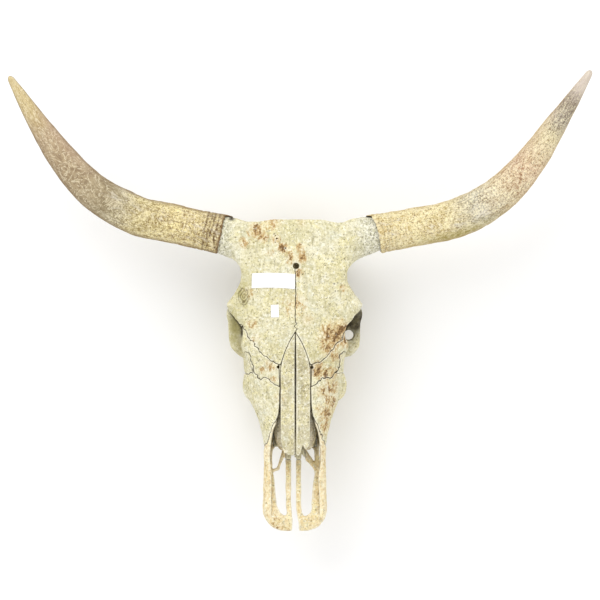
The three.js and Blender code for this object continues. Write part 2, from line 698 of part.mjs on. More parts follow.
const nasalPrism = (sign, grow) => (
  prism(grown(nasalOutline(sign), grow), 100, ABOVE, (y) => nasalFloor(y) - grow)
);
const frontalPrism = (grow) => {
  const roofPart = prism(grown(FRONTAL, grow), FRONTAL_FLOOR - grow, ABOVE);
  const [right, left] = [1, -1].map((sign) => (
    prism(grown(onSide(HORN_BASE, sign), grow), HORN_BASE_FLOOR - grow, ABOVE)
  ));
  return roofPart.add(right).add(left);
};
const lacrimalPrism = (sign, grow) => (
  prism(grown(onSide(LACRIMAL, sign), grow), LACRIMAL_FLOOR - grow, ABOVE)
);
const zygomaticPrism = (sign, grow) => (
  prism(grown(onSide(ZYGOMATIC, sign), grow), ZYGOMATIC_FLOOR - grow, FRONTAL_FLOOR - GAP + grow)
);

// A cut can shave off crumbs; the bone is the largest piece that is left.
function largest(solid) {
  const pieces = solid.decompose();
  const bone = pieces.reduce((best, piece) => (piece.volume() > best.volume() ? piece : best));
  return thinned(bone, CUT_LOSS);
}

// The small openings: beside each nasal bone, and through the right orbit's floor.
const fontanelle = (sign) => bore(sign * FONTANELLE.x, FONTANELLE.y, FONTANELLE.radius,
  FONTANELLE.bottom, FOREHEAD, 8);
const orbitHole = bore(ORBIT_HOLE.x, ORBIT_HOLE.y, ORBIT_HOLE.radius, ORBIT_HOLE.bottom,
  ORBIT_HOLE.top, 12);
const openOrbit = (solid, sign) => (sign > 0 ? solid.subtract(orbitHole) : solid);

function nasal(sign) {
  const bone = boneIn(nasalOutline(sign), ...NASAL_SPAN, NASAL_CELL);
  return largest(bone.intersect(nasalPrism(sign, 0)));
}

function frontal() {
  const hole = bore(FOREHEAD_HOLE.x, FOREHEAD_HOLE.y, FOREHEAD_HOLE.radius,
    FOREHEAD - FOREHEAD_HOLE.depth, ABOVE, 12);
  return largest(boneIn(FRONTAL, HORN_BASE_FLOOR, FOREHEAD, COARSE_CELL)
    .intersect(frontalPrism(0))
    .subtract(nasalPrism(1, GAP))
    .subtract(nasalPrism(-1, GAP))
    .subtract(hole));
}

function lacrimal(sign) {
  const bone = boneIn(onSide(LACRIMAL, sign), LACRIMAL_FLOOR, FOREHEAD, MIDDLE_CELL);
  return largest(openOrbit(bone
    .intersect(lacrimalPrism(sign, 0))
    .subtract(frontalPrism(GAP))
    .subtract(nasalPrism(sign, GAP))
    .subtract(fontanelle(sign)), sign));
}

function zygomatic(sign) {
  const bone = boneIn(onSide(ZYGOMATIC, sign), ZYGOMATIC_FLOOR, FRONTAL_FLOOR, MIDDLE_CELL);
  return largest(openOrbit(bone
    .intersect(zygomaticPrism(sign, 0))
    .subtract(lacrimalPrism(sign, GAP)), sign));
}

// The cheek teeth: three premolars and three molars, each with ribs on its outer side.
const TEETH = [
  { length: 16, width: 16 },
  { length: 18, width: 19 },
  { length: 18, width: 21 },
  { length: 26, width: 23 },
  { length: 28, width: 24 },
  { length: 29, width: 23 },
];
const TOOTH_ROW_START = 202;
const TOOTH_SPACING = 0.6;

function toothOutline(x, y, tooth, sign) {
  const ribs = tooth.length > 20 ? 3 : 2;
  const steps = ribs * 2;
  const points = [];
  for (let i = 0; i <= steps; i += 1) {
    const rib = i % 2 === 0 ? 0 : -1.4;
    const edge = i === 0 || i === steps ? -1.6 : 0;
    const reach = tooth.width / 2 + rib + edge;
    points.push([x + sign * reach, y + tooth.length * (i / steps - 0.5)]);
  }
  points.push([x - sign * tooth.width * 0.3, y + tooth.length / 2]);
  points.push([x - sign * tooth.width * 0.5, y + tooth.length * 0.25]);
  points.push([x - sign * tooth.width * 0.5, y - tooth.length * 0.25]);
  points.push([x - sign * tooth.width * 0.3, y - tooth.length / 2]);
  return sign > 0 ? points : points.reverse();
}

function cheekTeeth(sign) {
  let y = TOOTH_ROW_START;
  let row = null;
  TEETH.forEach((tooth) => {
    const middle = y + tooth.length / 2;
    const x = sign * (jawHalf(middle) - 13);
    const root = marginLevel(middle) + 9;
    const crownSolid = prism(toothOutline(x, middle, tooth, sign), 0, root);
    row = row ? row.add(crownSolid) : crownSolid;
    y += tooth.length + TOOTH_SPACING;
  });
  const front = TOOTH_ROW_START - 22;
  const wear = [[MOLAR_HEEL, 0], [front, wearLevel(front)], [front, -10], [MOLAR_HEEL, -10]];
  return row.subtract(slab(wear, 200));
}

const maxillaBody = (sign, grow) => (
  boneIn(onSide(MAXILLA, sign), ...MAXILLA_SPAN, COARSE_CELL, grow)
);
const premaxillaBody = (sign, grow) => (
  boneIn(onSide(PREMAXILLA, sign), ...PREMAXILLA_SPAN, FINE_CELL, grow)
);

function maxilla(sign) {
  const outline = onSide(MAXILLA, sign);
  return largest(openOrbit(maxillaBody(sign, 0), sign)
    .intersect(prism(outline, BELOW, ABOVE))
    .subtract(prism(MEDIAN_SPACE, BELOW, ABOVE))
    .subtract(prism(grown(onSide(PREMAXILLA, sign), GAP), BELOW, ABOVE))
    .subtract(frontalPrism(GAP))
    .subtract(nasalPrism(sign, GAP))
    .subtract(lacrimalPrism(sign, GAP))
    .subtract(zygomaticPrism(sign, GAP))
    .add(cheekTeeth(sign)));
}

function premaxilla(sign) {
  return largest(premaxillaBody(sign, 0)
    .intersect(prism(onSide(PREMAXILLA, sign), BELOW, ABOVE))
    .subtract(prism(MEDIAN_SPACE, BELOW, ABOVE))
    .subtract(nasalPrism(sign, GAP)));
}

function temporal(sign) {
  const outline = onSide(TEMPORAL, sign);
  return largest(boneIn(outline, THROAT_FLOOR, FRONTAL_FLOOR, COARSE_CELL)
    .intersect(prism(outline, BELOW, FRONTAL_FLOOR - GAP))
    .subtract(frontalPrism(GAP)));
}

function occiput() {
  return largest(boneIn(OCCIPUT, OCCIPUT_FLOOR, FRONTAL_FLOOR, COARSE_CELL)
    .intersect(prism(OCCIPUT, 0, FRONTAL_FLOOR - GAP)));
}

function skullBase() {
  return largest(boneIn(SKULL_BASE, THROAT_FLOOR, FRONTAL_FLOOR, COARSE_CELL)
    .intersect(prism(SKULL_BASE, BELOW, FRONTAL_FLOOR - GAP)));
}

// ---------------------------------------------------------------- inside the nose

const NOSE_CLEARANCE = 0.5; // between the nasal cavity's wall and what lies in it
const SCROLL_X = 21; // from the midline to the middle of a turbinate

const TURBINATE = [[2.5, 120], [36, 120], [36, 240], [2.5, 240]];

function turbinate(sign) {
  const middle = sign * SCROLL_X;
  const field = (x, y, z) => {
    const scroll = ellipsoid(x, y, z, [middle, 180, 121], [16, 46, 27]);
    const groove = bar(x, y, z, [sign * 35, 130, 118], [sign * 35, 215, 118], 6, 6);
    return smoothMax(scroll, -groove, 4);
  };
  const low = [middle - 21, 126, 86];
  const high = [middle + 21, 238, 156];
  return largest(thinned(fieldSolid(field, low, high, MIDDLE_CELL), 1)
    .intersect(prism(onSide(TURBINATE, sign), BELOW, ABOVE))
    .subtract(maxillaBody(sign, NOSE_CLEARANCE))
    .subtract(premaxillaBody(sign, NOSE_CLEARANCE)));
}

function vomer() {
  const floor = (y) => palateLevel(y) + PALATE_THICKNESS + 1.5;
  const end = CAVITY_END - 2;
  const blade = slab([[122, floor(122)], [end, floor(end)], [end, 140], [160, 124]], 3);
  return largest(blade
    .subtract(maxillaBody(1, NOSE_CLEARANCE))
    .subtract(maxillaBody(-1, NOSE_CLEARANCE)));
}

// ---------------------------------------------------------------- horns

// Each horn: the bare length of its core, the lean and bow of the sheath's rim, and the
// centre line as x, z, y.
const HORNS = {
  left: {
    sign: -1,
    bare: 22,
    lean: 0,
    bow: 0,
    line: [[-104, 150, 489], [-121, 151, 493], [-190, 150, 508], [-268, 152, 527],
      [-337, 158, 566.4], [-391, 169, 625.8], [-436, 184, 691.8], [-475, 204, 755.6]],
  },
  right: {
    sign: 1,
    bare: 36,
    lean: -3.2,
    bow: -4.8,
    line: [[104, 150, 489], [121, 151, 492], [190, 150, 504], [268, 152, 521],
      [337, 158, 558], [391, 169, 615], [437, 185, 682], [490.5, 208, 765]],
  },
};
const hornWidth = profile([[0, 1.09], [0.05, 1.06], [0.1, 1.02], [0.34, 1.03], [0.46, 0.97],
  [0.58, 0.86], [0.7, 0.71], [0.82, 0.51], [0.92, 0.32], [1, 0.15]]);
const HORN_SIDES = 10;
const HORN_STEPS = 18;
const TIP_ROUNDING = 8;
const RIM_FADE = 26; // how far along the horn the rim's lean dies away
const UPWARDS = new THREE.Vector3(0, 0, 1);

function hornCurve(horn) {
  return new THREE.CatmullRomCurve3(horn.line.map(([x, z, y]) => new THREE.Vector3(x, y, z)));
}

// A ring of points round the horn; lean and bow shift its two sides along the horn.
function hornRing(curve, along, radius, lean = 0, bow = 0) {
  const length = curve.getLength();
  const ring = [];
  for (let i = 0; i < HORN_SIDES; i += 1) {
    const angle = (i / HORN_SIDES) * 2 * Math.PI;
    const side = Math.cos(angle);
    const t = clamp((along + lean * side + bow * side ** 2) / length, 0, 1);
    const forward = curve.getTangentAt(t);
    const across = new THREE.Vector3().crossVectors(UPWARDS, forward).normalize();
    const up = new THREE.Vector3().crossVectors(forward, across);
    ring.push(curve.getPointAt(t)
      .addScaledVector(across, radius * side)
      .addScaledVector(up, radius * HORN_FLATNESS * Math.sin(angle)));
  }
  return ring;
}

function sheath(horn) {
  const curve = hornCurve(horn);
  const length = curve.getLength();
  const rings = [];
  for (let i = 0; i <= HORN_STEPS; i += 1) {
    const along = horn.bare + (length - horn.bare) * (i / HORN_STEPS);
    const fade = Math.exp((horn.bare - along) / RIM_FADE);
    const toTip = Math.min((length - along) / TIP_ROUNDING, 1);
    const tip = Math.max(Math.sqrt(1 - (1 - toTip) ** 2), 0.4);
    const radius = HORN_RADIUS * hornWidth(along / length) * tip;
    rings.push(hornRing(curve, along, radius, horn.lean * fade, horn.bow * fade));
  }
  return loft(rings).subtract(coreBody(horn, SHEATH_FIT));
}

function coreBody(horn, grow) {
  const curve = hornCurve(horn);
  const reach = horn.bare + SHEATH_HOLLOW + grow;
  const stations = [[0, 29.2], [0.35, 28.6], [0.8, 26.5], [0.95, 22], [1, 14]];
  return loft(stations.map(([share, radius]) => hornRing(curve, share * reach, radius + grow)));
}

function core(horn) {
  const beyond = [[CORE_START, 440], [260, 440], [260, 560], [CORE_START, 560]];
  return coreBody(horn, 0).intersect(prism(onSide(beyond, horn.sign), 100, ABOVE));
}

// ---------------------------------------------------------------- paper labels

function raised(solid, lift) {
  return toSolid(toGeometry(solid).translate(0, 0, lift));
}

function label(forehead, centre, width, height, turn) {
  const corners = [[-1, -1], [1, -1], [1, 1], [-1, 1]].map(([u, v]) => [
    centre[0] + (u * width * Math.cos(turn) - v * height * Math.sin(turn)) / 2,
    centre[1] + (u * width * Math.sin(turn) + v * height * Math.cos(turn)) / 2,
  ]);
  return largest(raised(forehead, LABEL_LIFT + LABEL_THICKNESS)
    .intersect(prism(corners, LABEL_FLOOR, ABOVE))
    .subtract(raised(forehead, LABEL_LIFT)));
}

// ---------------------------------------------------------------- the skull

const finish = (color, roughness) => new THREE.MeshStandardMaterial({ color, roughness, metalness: 0 });
const BONE = 0xddd5b0;
const WEATHERED = 0xcfc8a4;
const DARK_BONE = 0xa08c66;
const HORN = 0xc8ae7c;
const PAPER = 0xf4f4f0;

const skull = new THREE.Group();
skull.position.set(-ORIGIN[0], -ORIGIN[1], -ORIGIN[2]);

function place(name, solid, material) {
  const mesh = new THREE.Mesh(toGeometry(solid), material);
  mesh.name = name;
  skull.add(mesh);
}

const frontalBone = frontal();
place('frontal', frontalBone, finish(BONE, 0.85));
place('occiput', occiput(), finish(BONE, 0.85));
place('skull_base', skullBase(), finish(WEATHERED, 0.9));
place('vomer', vomer(), finish(DARK_BONE, 0.9));
place('label_large', label(frontalBone, [-36.5, 417], 72, 25, -0.02), finish(PAPER, 0.7));
place('label_small', label(frontalBone, [-34, 366], 13.5, 21, 0.03), finish(PAPER, 0.7));
[['left', -1], ['right', 1]].forEach(([side, sign]) => {
  place(`nasal_${side}`, nasal(sign), finish(BONE, 0.85));
  place(`lacrimal_${side}`, lacrimal(sign), finish(BONE, 0.85));
  place(`zygomatic_${side}`, zygomatic(sign), finish(WEATHERED, 0.85));
  place(`maxilla_${side}`, maxilla(sign), finish(BONE, 0.85));
  place(`premaxilla_${side}`, premaxilla(sign), finish(BONE, 0.85));
  place(`temporal_${side}`, temporal(sign), finish(WEATHERED, 0.85));
  place(`turbinate_${side}`, turbinate(sign), finish(DARK_BONE, 0.95));
  place(`horn_core_${side}`, core(HORNS[side]), finish(WEATHERED, 0.95));
  place(`horn_sheath_${side}`, sheath(HORNS[side]), finish(HORN, 0.6));
});

export default skull;
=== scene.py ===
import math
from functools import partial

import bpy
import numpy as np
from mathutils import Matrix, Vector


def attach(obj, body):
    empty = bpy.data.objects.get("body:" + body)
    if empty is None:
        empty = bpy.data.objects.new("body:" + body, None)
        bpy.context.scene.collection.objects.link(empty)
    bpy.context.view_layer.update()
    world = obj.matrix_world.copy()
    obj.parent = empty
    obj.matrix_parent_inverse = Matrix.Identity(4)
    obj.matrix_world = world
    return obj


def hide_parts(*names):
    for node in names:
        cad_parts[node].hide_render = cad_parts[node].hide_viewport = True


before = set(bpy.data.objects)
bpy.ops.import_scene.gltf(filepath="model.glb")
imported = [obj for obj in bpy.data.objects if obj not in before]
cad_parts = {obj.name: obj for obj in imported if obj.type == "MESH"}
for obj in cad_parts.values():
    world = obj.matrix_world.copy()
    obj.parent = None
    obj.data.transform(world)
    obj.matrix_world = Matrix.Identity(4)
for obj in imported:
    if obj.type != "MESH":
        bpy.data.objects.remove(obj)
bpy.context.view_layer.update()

# Longhorn steer skull: the looks.  Every bone is a signed field (negative inside bone),
# written in the skull's own frame in millimetres: x across, y from the muzzle tip to the
# poll, z up from the floor.  Each piece is that field cut along its sutures, meshed, then
# roughened along its normals.  The horn sheaths and the labels are skins of their own.

VOXEL = 1.35  # grid step of the bone fields
ORIGIN = (7.74, 383.4, 0.0)  # the row's origin in the skull's own frame
MILLIMETRE = 0.001

# ------------------------------------------------------------------ driving dimensions

FOREHEAD = 190.0
SKULL_LENGTH = 517.0
SUTURE_HALF = 0.2  # half the open width of a suture
SUTURE_ROUND = 1.6  # rounding of the bones' edges along it
SIDES = ((-1, "left"), (1, "right"))
PALATE_FRONT = 128.0
PALATE_SLOPE = 0.3
PALATE_THICKNESS = 8.0
CAVITY_END = 210.0
MOLAR_HEEL = 331.0
WEAR_SLOPE = 0.296
FACE_POWER = 2.3
ORBIT_CENTRE = (110, 333, 140)
ORBIT_APEX = (58, 352, 136)
ORBIT_RADIUS = 29.5
FRONTAL_FLOOR = 148.0
HORN_BASE_FLOOR = 113.0
LACRIMAL_FLOOR = 120.0
ZYGOMATIC_FLOOR = 66.0


# ------------------------------------------------------------------ small mathematics

def profile(*stations):
    """A smooth curve through (place, value) stations, level beyond the first and last."""
    places, values = np.array(stations, dtype=np.float64).T
    last = len(stations) - 1
    before = np.maximum(np.arange(last + 1) - 1, 0)
    after = np.minimum(np.arange(last + 1) + 1, last)
    slopes = (values[after] - values[before]) / (places[after] - places[before])

    def curve(place):
        place = np.clip(np.asarray(place, dtype=np.float64), places[0], places[-1])
        i = np.clip(np.searchsorted(places, place, side="right") - 1, 0, last - 1)
        span = places[i + 1] - places[i]
        t = (place - places[i]) / span
        rise = values[i + 1] - values[i]
        lead = t * (1 - t) ** 2 * span * slopes[i]
        trail = t ** 2 * (1 - t) * span * slopes[i + 1]
        result = values[i] + rise * t * t * (3 - 2 * t) + lead - trail
        return result.astype(np.float32)

    return curve


def ease(value, low, high):
    t = np.clip((value - low) / (high - low), 0, 1)
    return t * t * (3 - 2 * t)


def smooth_min(a, b, k):
    h = np.maximum(k - np.abs(a - b), 0) / k
    return np.minimum(a, b) - h * h * (k * 0.25)


def smooth_max(a, b, k):
    return -smooth_min(-a, -b, k)


def largest(*values):
    result = values[0]
    for value in values[1:]:
        result = np.maximum(result, value)
    return result


NOISE_TABLE = np.random.default_rng(11).uniform(-1, 1, (32, 32, 32)).astype(np.float32)


def noise(x, y, z, size, shift=0.0):
    """Smooth noise between -1 and 1, with features about `size` millimetres across."""
    total = 0.0
    cells = []
    for value, offset in ((x, 3.7), (y, 9.1), (z, 5.3)):
        scaled = np.asarray(value) / size + offset + shift
        low = np.floor(scaled)
        t = (scaled - low).astype(np.float32)
        cells.append((low.astype(np.int64), t * t * (3 - 2 * t)))
    for i in (0, 1):
        for j in (0, 1):
            for k in (0, 1):
                weight = 1.0
                corner = []
                for (low, t), step in zip(cells, (i, j, k)):
                    weight = weight * (t if step else 1 - t)
                    corner.append((low + step) % 32)
                total = total + weight * NOISE_TABLE[corner[0], corner[1], corner[2]]
    return total


# ------------------------------------------------------------------ profiles

CROWN = profile((0, 150), (125, 160), (200, 173), (280, 182), (325, 185), (380, 189),
                (440, FOREHEAD), (500, 188), (517, 184))
FACE_HALF = profile((0, 24), (8, 40), (27, 52), (60, 52.5), (145, 52), (175, 58),
                    (195, 64), (213, 72), (240, 79), (265, 82), (290, 83.5), (320, 73), (350, 58))
FACE_LEAN = profile((0, 0.2), (30, 1.0), (180, 1.0), (215, 2.4), (280, 2.4), (320, 1.8))
CHEEK_LEVEL = profile((0, 121), (60, 117), (145, 118), (200, 105), (240, 96),
                      (300, 110), (350, 110))
JAW_HALF = profile((0, 22), (60, 45), (120, 37), (160, 40), (200, 55), (260, 66),
                   (320, 69), (350, 56))
PREMAXILLA_TOP = profile((0, 125), (25, 131), (60, 134), (100, 139), (140, 145),
                         (158, 151), (172, 162), (184, 205))
INNER_WALL = profile((22, 19), (31, 27), (40, 31.5), (60, 34.5), (85, 36.5),
                     (119, 42), (165, 37), (185, 30.5), (210, 26.5), (228, 25.3))
ROOF_HALF = profile((280, 66), (299, 86), (312, 89), (334, 86), (343, 90), (352, 96.5),
                    (362, 103.5), (371, 109.5), (376, 113), (384, 108), (392, 101.5), (404, 94),
                    (414, 89.5), (430, 87.5), (440, 91), (450, 96), (470, 99), (517, 97))
ROOF_DROOP = profile((280, 30), (310, 19), (345, 13), (375, 12), (430, 7), (517, 6))
NUCHAL_HALF = profile((40, 46), (52, 66), (66, 86), (84, 103), (98, 104), (112, 91),
                      (128, 79), (146, 82), (172, 92))
NUCHAL_REAR = profile((40, 470), (70, 477), (110, 488), (150, 501), (178, 512))


def palate_level(y):
    return PALATE_FRONT - PALATE_SLOPE * y


def margin_level(y):
    return palate_level(y) - np.where(y < 25, 12 - y * 0.2, 8)


# ------------------------------------------------------------------ round bodies
# Each returns (function of x, y, z; lowest corner; highest corner).

def ellipsoid(centre, radii):
    def field(x, y, z):
        p = [(v - c) / r for v, c, r in zip((x, y, z), centre, radii)]
        size = np.sqrt(p[0] ** 2 + p[1] ** 2 + p[2] ** 2)
        q = [v / r for v, r in zip(p, radii)]
        steep = np.sqrt(q[0] ** 2 + q[1] ** 2 + q[2] ** 2)
        return size * (size - 1) / np.maximum(steep, 1e-6)

    low = [c - r for c, r in zip(centre, radii)]
    high = [c + r for c, r in zip(centre, radii)]
    return field, low, high


def bar(a, b, ra, rb):
    along = [q - p for p, q in zip(a, b)]
    length2 = sum(v * v for v in along)

    def field(x, y, z):
        off = [v - p for v, p in zip((x, y, z), a)]
        t = (off[0] * along[0] + off[1] * along[1] + off[2] * along[2]) / length2
        t = np.clip(t, 0, 1)
        rest = [o - t * v for o, v in zip(off, along)]
        return np.sqrt(rest[0] ** 2 + rest[1] ** 2 + rest[2] ** 2) - (ra + (rb - ra) * t)

    low = [min(p - ra, q - rb) for p, q in zip(a, b)]
    high = [max(p + ra, q + rb) for p, q in zip(a, b)]
    return field, low, high


def block(centre, half, round_):
    def field(x, y, z):
        q = [np.abs(v - c) - h + round_ for v, c, h in zip((x, y, z), centre, half)]
        outside = np.sqrt(sum(np.maximum(v, 0) ** 2 for v in q))
        return outside + np.minimum(largest(*q), 0) - round_

    low = [c - h for c, h in zip(centre, half)]
    high = [c + h for c, h in zip(centre, half)]
    return field, low, high


def mirrored(shape, sign):
    """The shape on the right (sign 1) or its mirror image on the left (sign -1)."""
    if sign > 0:
        return shape
    field, low, high = shape
    return (lambda x, y, z: field(-x, y, z)), [-high[0], *low[1:]], [-low[0], *high[1:]]


class Grid:
    """Sample points in a box, and the field's values there."""

    def __init__(self, low, high, step):
        self.step = step
        self.axes = [np.arange(a, b + step, step, dtype=np.float32) for a, b in zip(low, high)]
        self.values = np.full([len(axis) for axis in self.axes], 50.0, dtype=np.float32)

    def open(self, low=None, high=None, pad=0.0):
        """Index of the part of the grid inside a box, and its x, y and z, ready to combine."""
        index = []
        for n, axis in enumerate(self.axes):
            start = 0 if low is None else int(np.searchsorted(axis, low[n] - pad))
            stop = len(axis) if high is None else int(np.searchsorted(axis, high[n] + pad))
            index.append(slice(start, stop))
        x, y, z = (axis[part] for axis, part in zip(self.axes, index))
        return tuple(index), x[:, None, None], y[None, :, None], z[None, None, :]

    def points(self):
        return self.open()[1:]

    def join(self, shape, k):
        self.combine(shape, k, 1)

    def cut(self, shape, k):
        self.combine(shape, k, -1)

    def combine(self, shape, k, sign):
        field, low, high = shape
        index, x, y, z = self.open(low, high, k + 2 * self.step)
        if 0 not in self.values[index].shape:
            self.values[index] = sign * smooth_min(sign * self.values[index], field(x, y, z), k)


# ------------------------------------------------------------------ horns' centre lines

HORN_RADIUS = 31.5
CORE_START = 106.0  # where a core leaves the forehead, either side
CORE_RADII = (29.2, 26.0)  # at the forehead and inside the sheath
CORE_AXIS = 150.5  # height of the cores' middle
HORN_FLATNESS = 0.93  # the horn's depth over its width
SHEATH_HOLLOW = 42  # how far the core reaches into the sheath
RIM_FADE = 26  # how far along the horn the lean of the sheath's rim dies away
LIP = 2.2  # rounding of the sheath's rim
SHEATH_BORE = (29.4, 26.8)  # radius inside the sheath, at its rim and at its bottom
TIP_ROUNDING = 8.0
HORN_WIDTH = profile((0, 1.09), (0.05, 1.06), (0.1, 1.02), (0.34, 1.03), (0.46, 0.97),
                     (0.58, 0.86), (0.7, 0.71), (0.82, 0.51), (0.92, 0.32), (1, 0.15))


class Horn:
    """One horn's centre line, measured along its length in millimetres."""

    def __init__(self, side, sign, bare, line):
        self.side = side
        self.sign = sign
        self.bare = bare  # length of core that shows between forehead and sheath
        self.points = self.curve(np.array(line, dtype=float))
        steps = np.linalg.norm(np.diff(self.points, axis=0), axis=1)
        self.lengths = np.concatenate([[0], np.cumsum(steps)])
        self.length = self.lengths[-1]

    @staticmethod
    def curve(line):
        """A centripetal Catmull-Rom curve through the line's points."""
        first = 2 * line[0] - line[1]
        last = 2 * line[-1] - line[-2]
        points = np.vstack([first, line, last])
        pieces = []
        for n in range(1, len(points) - 2):
            p0, p1, p2, p3 = points[n - 1:n + 3]
            d0, d1, d2 = np.sqrt(np.linalg.norm(np.diff([p0, p1, p2, p3], axis=0), axis=1))
            lead = ((p1 - p0) / d0 - (p2 - p0) / (d0 + d1) + (p2 - p1) / d1) * d1
            trail = ((p2 - p1) / d1 - (p3 - p1) / (d1 + d2) + (p3 - p2) / d2) * d1
            t = np.linspace(0, 1, 60, endpoint=False)[:, None]
            ease_in = 2 * t ** 3 - 3 * t ** 2 + 1
            pieces.append(ease_in * p1 + (t ** 3 - 2 * t ** 2 + t) * lead
                          + (1 - ease_in) * p2 + (t ** 3 - t ** 2) * trail)
        return np.vstack([*pieces, line[-1:]])

    def at(self, along):
        """Centre, sideways and upward directions at distances along the horn."""
        centre = self.sample(along)
        forward = self.sample(along + 1.5) - self.sample(along - 1.5)
        forward /= np.linalg.norm(forward, axis=-1, keepdims=True)
        across = np.cross([0.0, 0.0, 1.0], forward)
        across /= np.linalg.norm(across, axis=-1, keepdims=True)
        return centre, across, np.cross(forward, across)

    def sample(self, along):
        return np.stack([np.interp(along, self.lengths, self.points[:, n]) for n in range(3)],
                        axis=-1)


HORNS = [
    Horn("left", -1, 22, [(-104, 489, 150), (-121, 493, 151), (-190, 508, 150), (-268, 527, 152),
                          (-337, 566.4, 158), (-391, 625.8, 169), (-436, 691.8, 184),
                          (-475, 755.6, 204)]),
    Horn("right", 1, 36, [(104, 489, 150), (121, 492, 151), (190, 504, 150), (268, 521, 152),
                          (337, 558, 158), (391, 615, 169), (437, 682, 185), (490.5, 765, 208)]),
]


def core_shape(horn):
    """The bony core of a horn, from inside the forehead to inside the sheath."""
    tip = horn.sample(horn.bare + SHEATH_HOLLOW - 8)
    round_bar, low, high = bar(horn.points[0], tip, *CORE_RADII)

    def field(x, y, z):
        return round_bar(x, y, CORE_AXIS + (z - CORE_AXIS) / HORN_FLATNESS)

    return field, low, high


# ------------------------------------------------------------------ the skull's field

def face_body(x, y, z):
    half = FACE_HALF(y)
    level = CHEEK_LEVEL(y)
    side = np.abs(x + FACE_LEAN(y) * ease(z, 60, 100))
    rise = np.maximum(z - level, 0) / (CROWN(y) - level)
    reach = (side / half) ** FACE_POWER + rise ** FACE_POWER
    upper = (reach ** (1 / FACE_POWER) - 1) * half
    drop = ease(level - z, 0, level - margin_level(y))
    lower = side - (half + (JAW_HALF(y) - half) * drop)
    wall = np.where(z > level, upper, lower)
    vault = ease(side, JAW_HALF(y) - 26, JAW_HALF(y) - 14)
    under = palate_level(y) + (margin_level(y) - palate_level(y)) * vault
    body = smooth_max(wall, under - z, 6)
    return smooth_max(smooth_max(body, -y, 4), y - 350, 20)


def brow_lean(y):
    """How far the brows, orbits and cheek arches lean to the left."""
    return 1.8 * ease(y, 290, 330) * ease(470 - y, 0, 40)


def leaned(shape):
    field, low, high = shape
    return (lambda x, y, z: field(x + brow_lean(y), y, z)), [low[0] - 2, *low[1:]], high


def roof(x, y, z):
    side = np.abs(x + brow_lean(y))
    top = CROWN(y) - ROOF_DROOP(y) * np.minimum(side / ROOF_HALF(y), 1.2) ** 2.5
    poll_edge = SKULL_LENGTH - 6 * ease(side, 36, 66) - 3 * ease(x, 50, 80)
    plate = smooth_max(side - ROOF_HALF(y), z - top, 9)
    plate = smooth_max(plate, top - 15 - z, 6)
    plate = smooth_max(plate, 282 - y, 10)
    return smooth_max(plate, y - poll_edge, 10)


def nuchal_wall(x, y, z):
    side = np.abs(x)
    rear = NUCHAL_REAR(z)
    wall = smooth_max(side - NUCHAL_HALF(z), y - rear, 9)
    wall = smooth_max(wall, rear - 30 + 7 * ease(side, 76, 98) - y, 9)
    wall = smooth_max(wall, z - 176, 8)
    return smooth_max(wall, 42 - z, 8)


def nasal_cavity(x, y, z, face):
    floor = palate_level(y) + PALATE_THICKNESS - z
    inside = np.maximum(np.abs(x) - INNER_WALL(y), floor)
    opened = smooth_max(inside, y - 228, 4)
    hidden = largest(np.abs(x) - 40, floor, face + 8)
    whole = np.maximum(np.minimum(opened, hidden), y - CAVITY_END)
    return smooth_max(whole, 21 - y, 5)


def palate_slots(x, y):
    off = np.abs(x + 3.2 * ease(y, 10, 48))
    right_ledge = 5 * ease(y, 28, 50) + 4 * ease(y, 92, 106)
    ledge = np.where(x > 0, right_ledge, 2 * ease(y, 100, 112))
    across = smooth_max(12.6 - off, np.abs(x) - INNER_WALL(y) + 1 + ledge, 6)
    slot = smooth_max(across, smooth_max(22.5 - y, y - 139, 6), 9)
    median = np.maximum(off - 4.1 - 1.7 * ease(30 - y, 0, 20), y - 127)
    return smooth_min(slot, median, 1)


def palate_point(x, y):
    return (x, y, palate_level(y) + PALATE_THICKNESS / 2)


# Small openings seen from above: fontanelles beside the nasals, vessel holes over the
# orbits and weathered pits near the poll.  Each is (x, y, radius).
HOLES = [(-28.6, 273, 3.0), (27.6, 272.5, 3.1), (64.6, 411, 1.7), (66.5, 399, 1.2),
         (-33, 491, 1.3), (-31, 486.5, 1.5), (-33.5, 480, 1.4), (-16, 470, 1.4), (-64, 397, 1.1),
         (-18.5, 476, 1.0), (10, 470, 1.1), (12, 427, 1.0), (-3, 508, 1.0), (27, 424, 0.9)]


# Thin struts across the palate's openings: both ends in plan, and the radius at each.
BRIDGES = [(-43, 98, -29, 103, 2.6, 2.0), (-29, 103, -19, 132, 2.0, 3.6),
           (-12, 112, -16, 136, 3.0, 4.6), (13, 134, 22, 119, 4.8, 4.6),
           (22, 119, 33, 106, 4.6, 4.0), (33, 106, 44, 98, 4.0, 5.0)]


# Bones on each side as (shape, rounding where it joins), given for the right.
CHEEK_BONES = [
    (ellipsoid((87, 328, 98), (21, 38, 19)), 7),  # body of the cheek bone
    (bar((98, 310, 108), (102, 358, 113), 8.5, 9), 10),  # lower rim of the orbit
    (bar((102, 358, 113), (86.5, 398, 104), 9, 7), 7),  # the cheek arch, in three parts
    (bar((86.5, 398, 104), (77, 424, 101), 7, 9), 6),
    (bar((77, 424, 101), (80, 450, 98), 9, 11.5), 6),
    (bar((100, 371, 161), (102, 366, 114), 8, 8.5), 8),  # bar behind the orbit
]
THROAT_BONES = [
    (ellipsoid((27, 478, 52), (19, 20, 27)), 8),  # occipital condyle
    (ellipsoid((0, 425, 54), (25, 62, 17)), 9),  # base of the occiput
    (ellipsoid((0, 372, 82), (24, 48, 24)), 9),  # sphenoid
    (ellipsoid((44, 430, 48), (13, 21, 20)), 6),  # tympanic bulla
    (bar((64, 466, 84), (60, 463, -7), 17, 7), 7),  # paracondylar process
    (block((23, 345, 66), (3.2, 52, 28), 3), 4),  # pterygoid plate
]
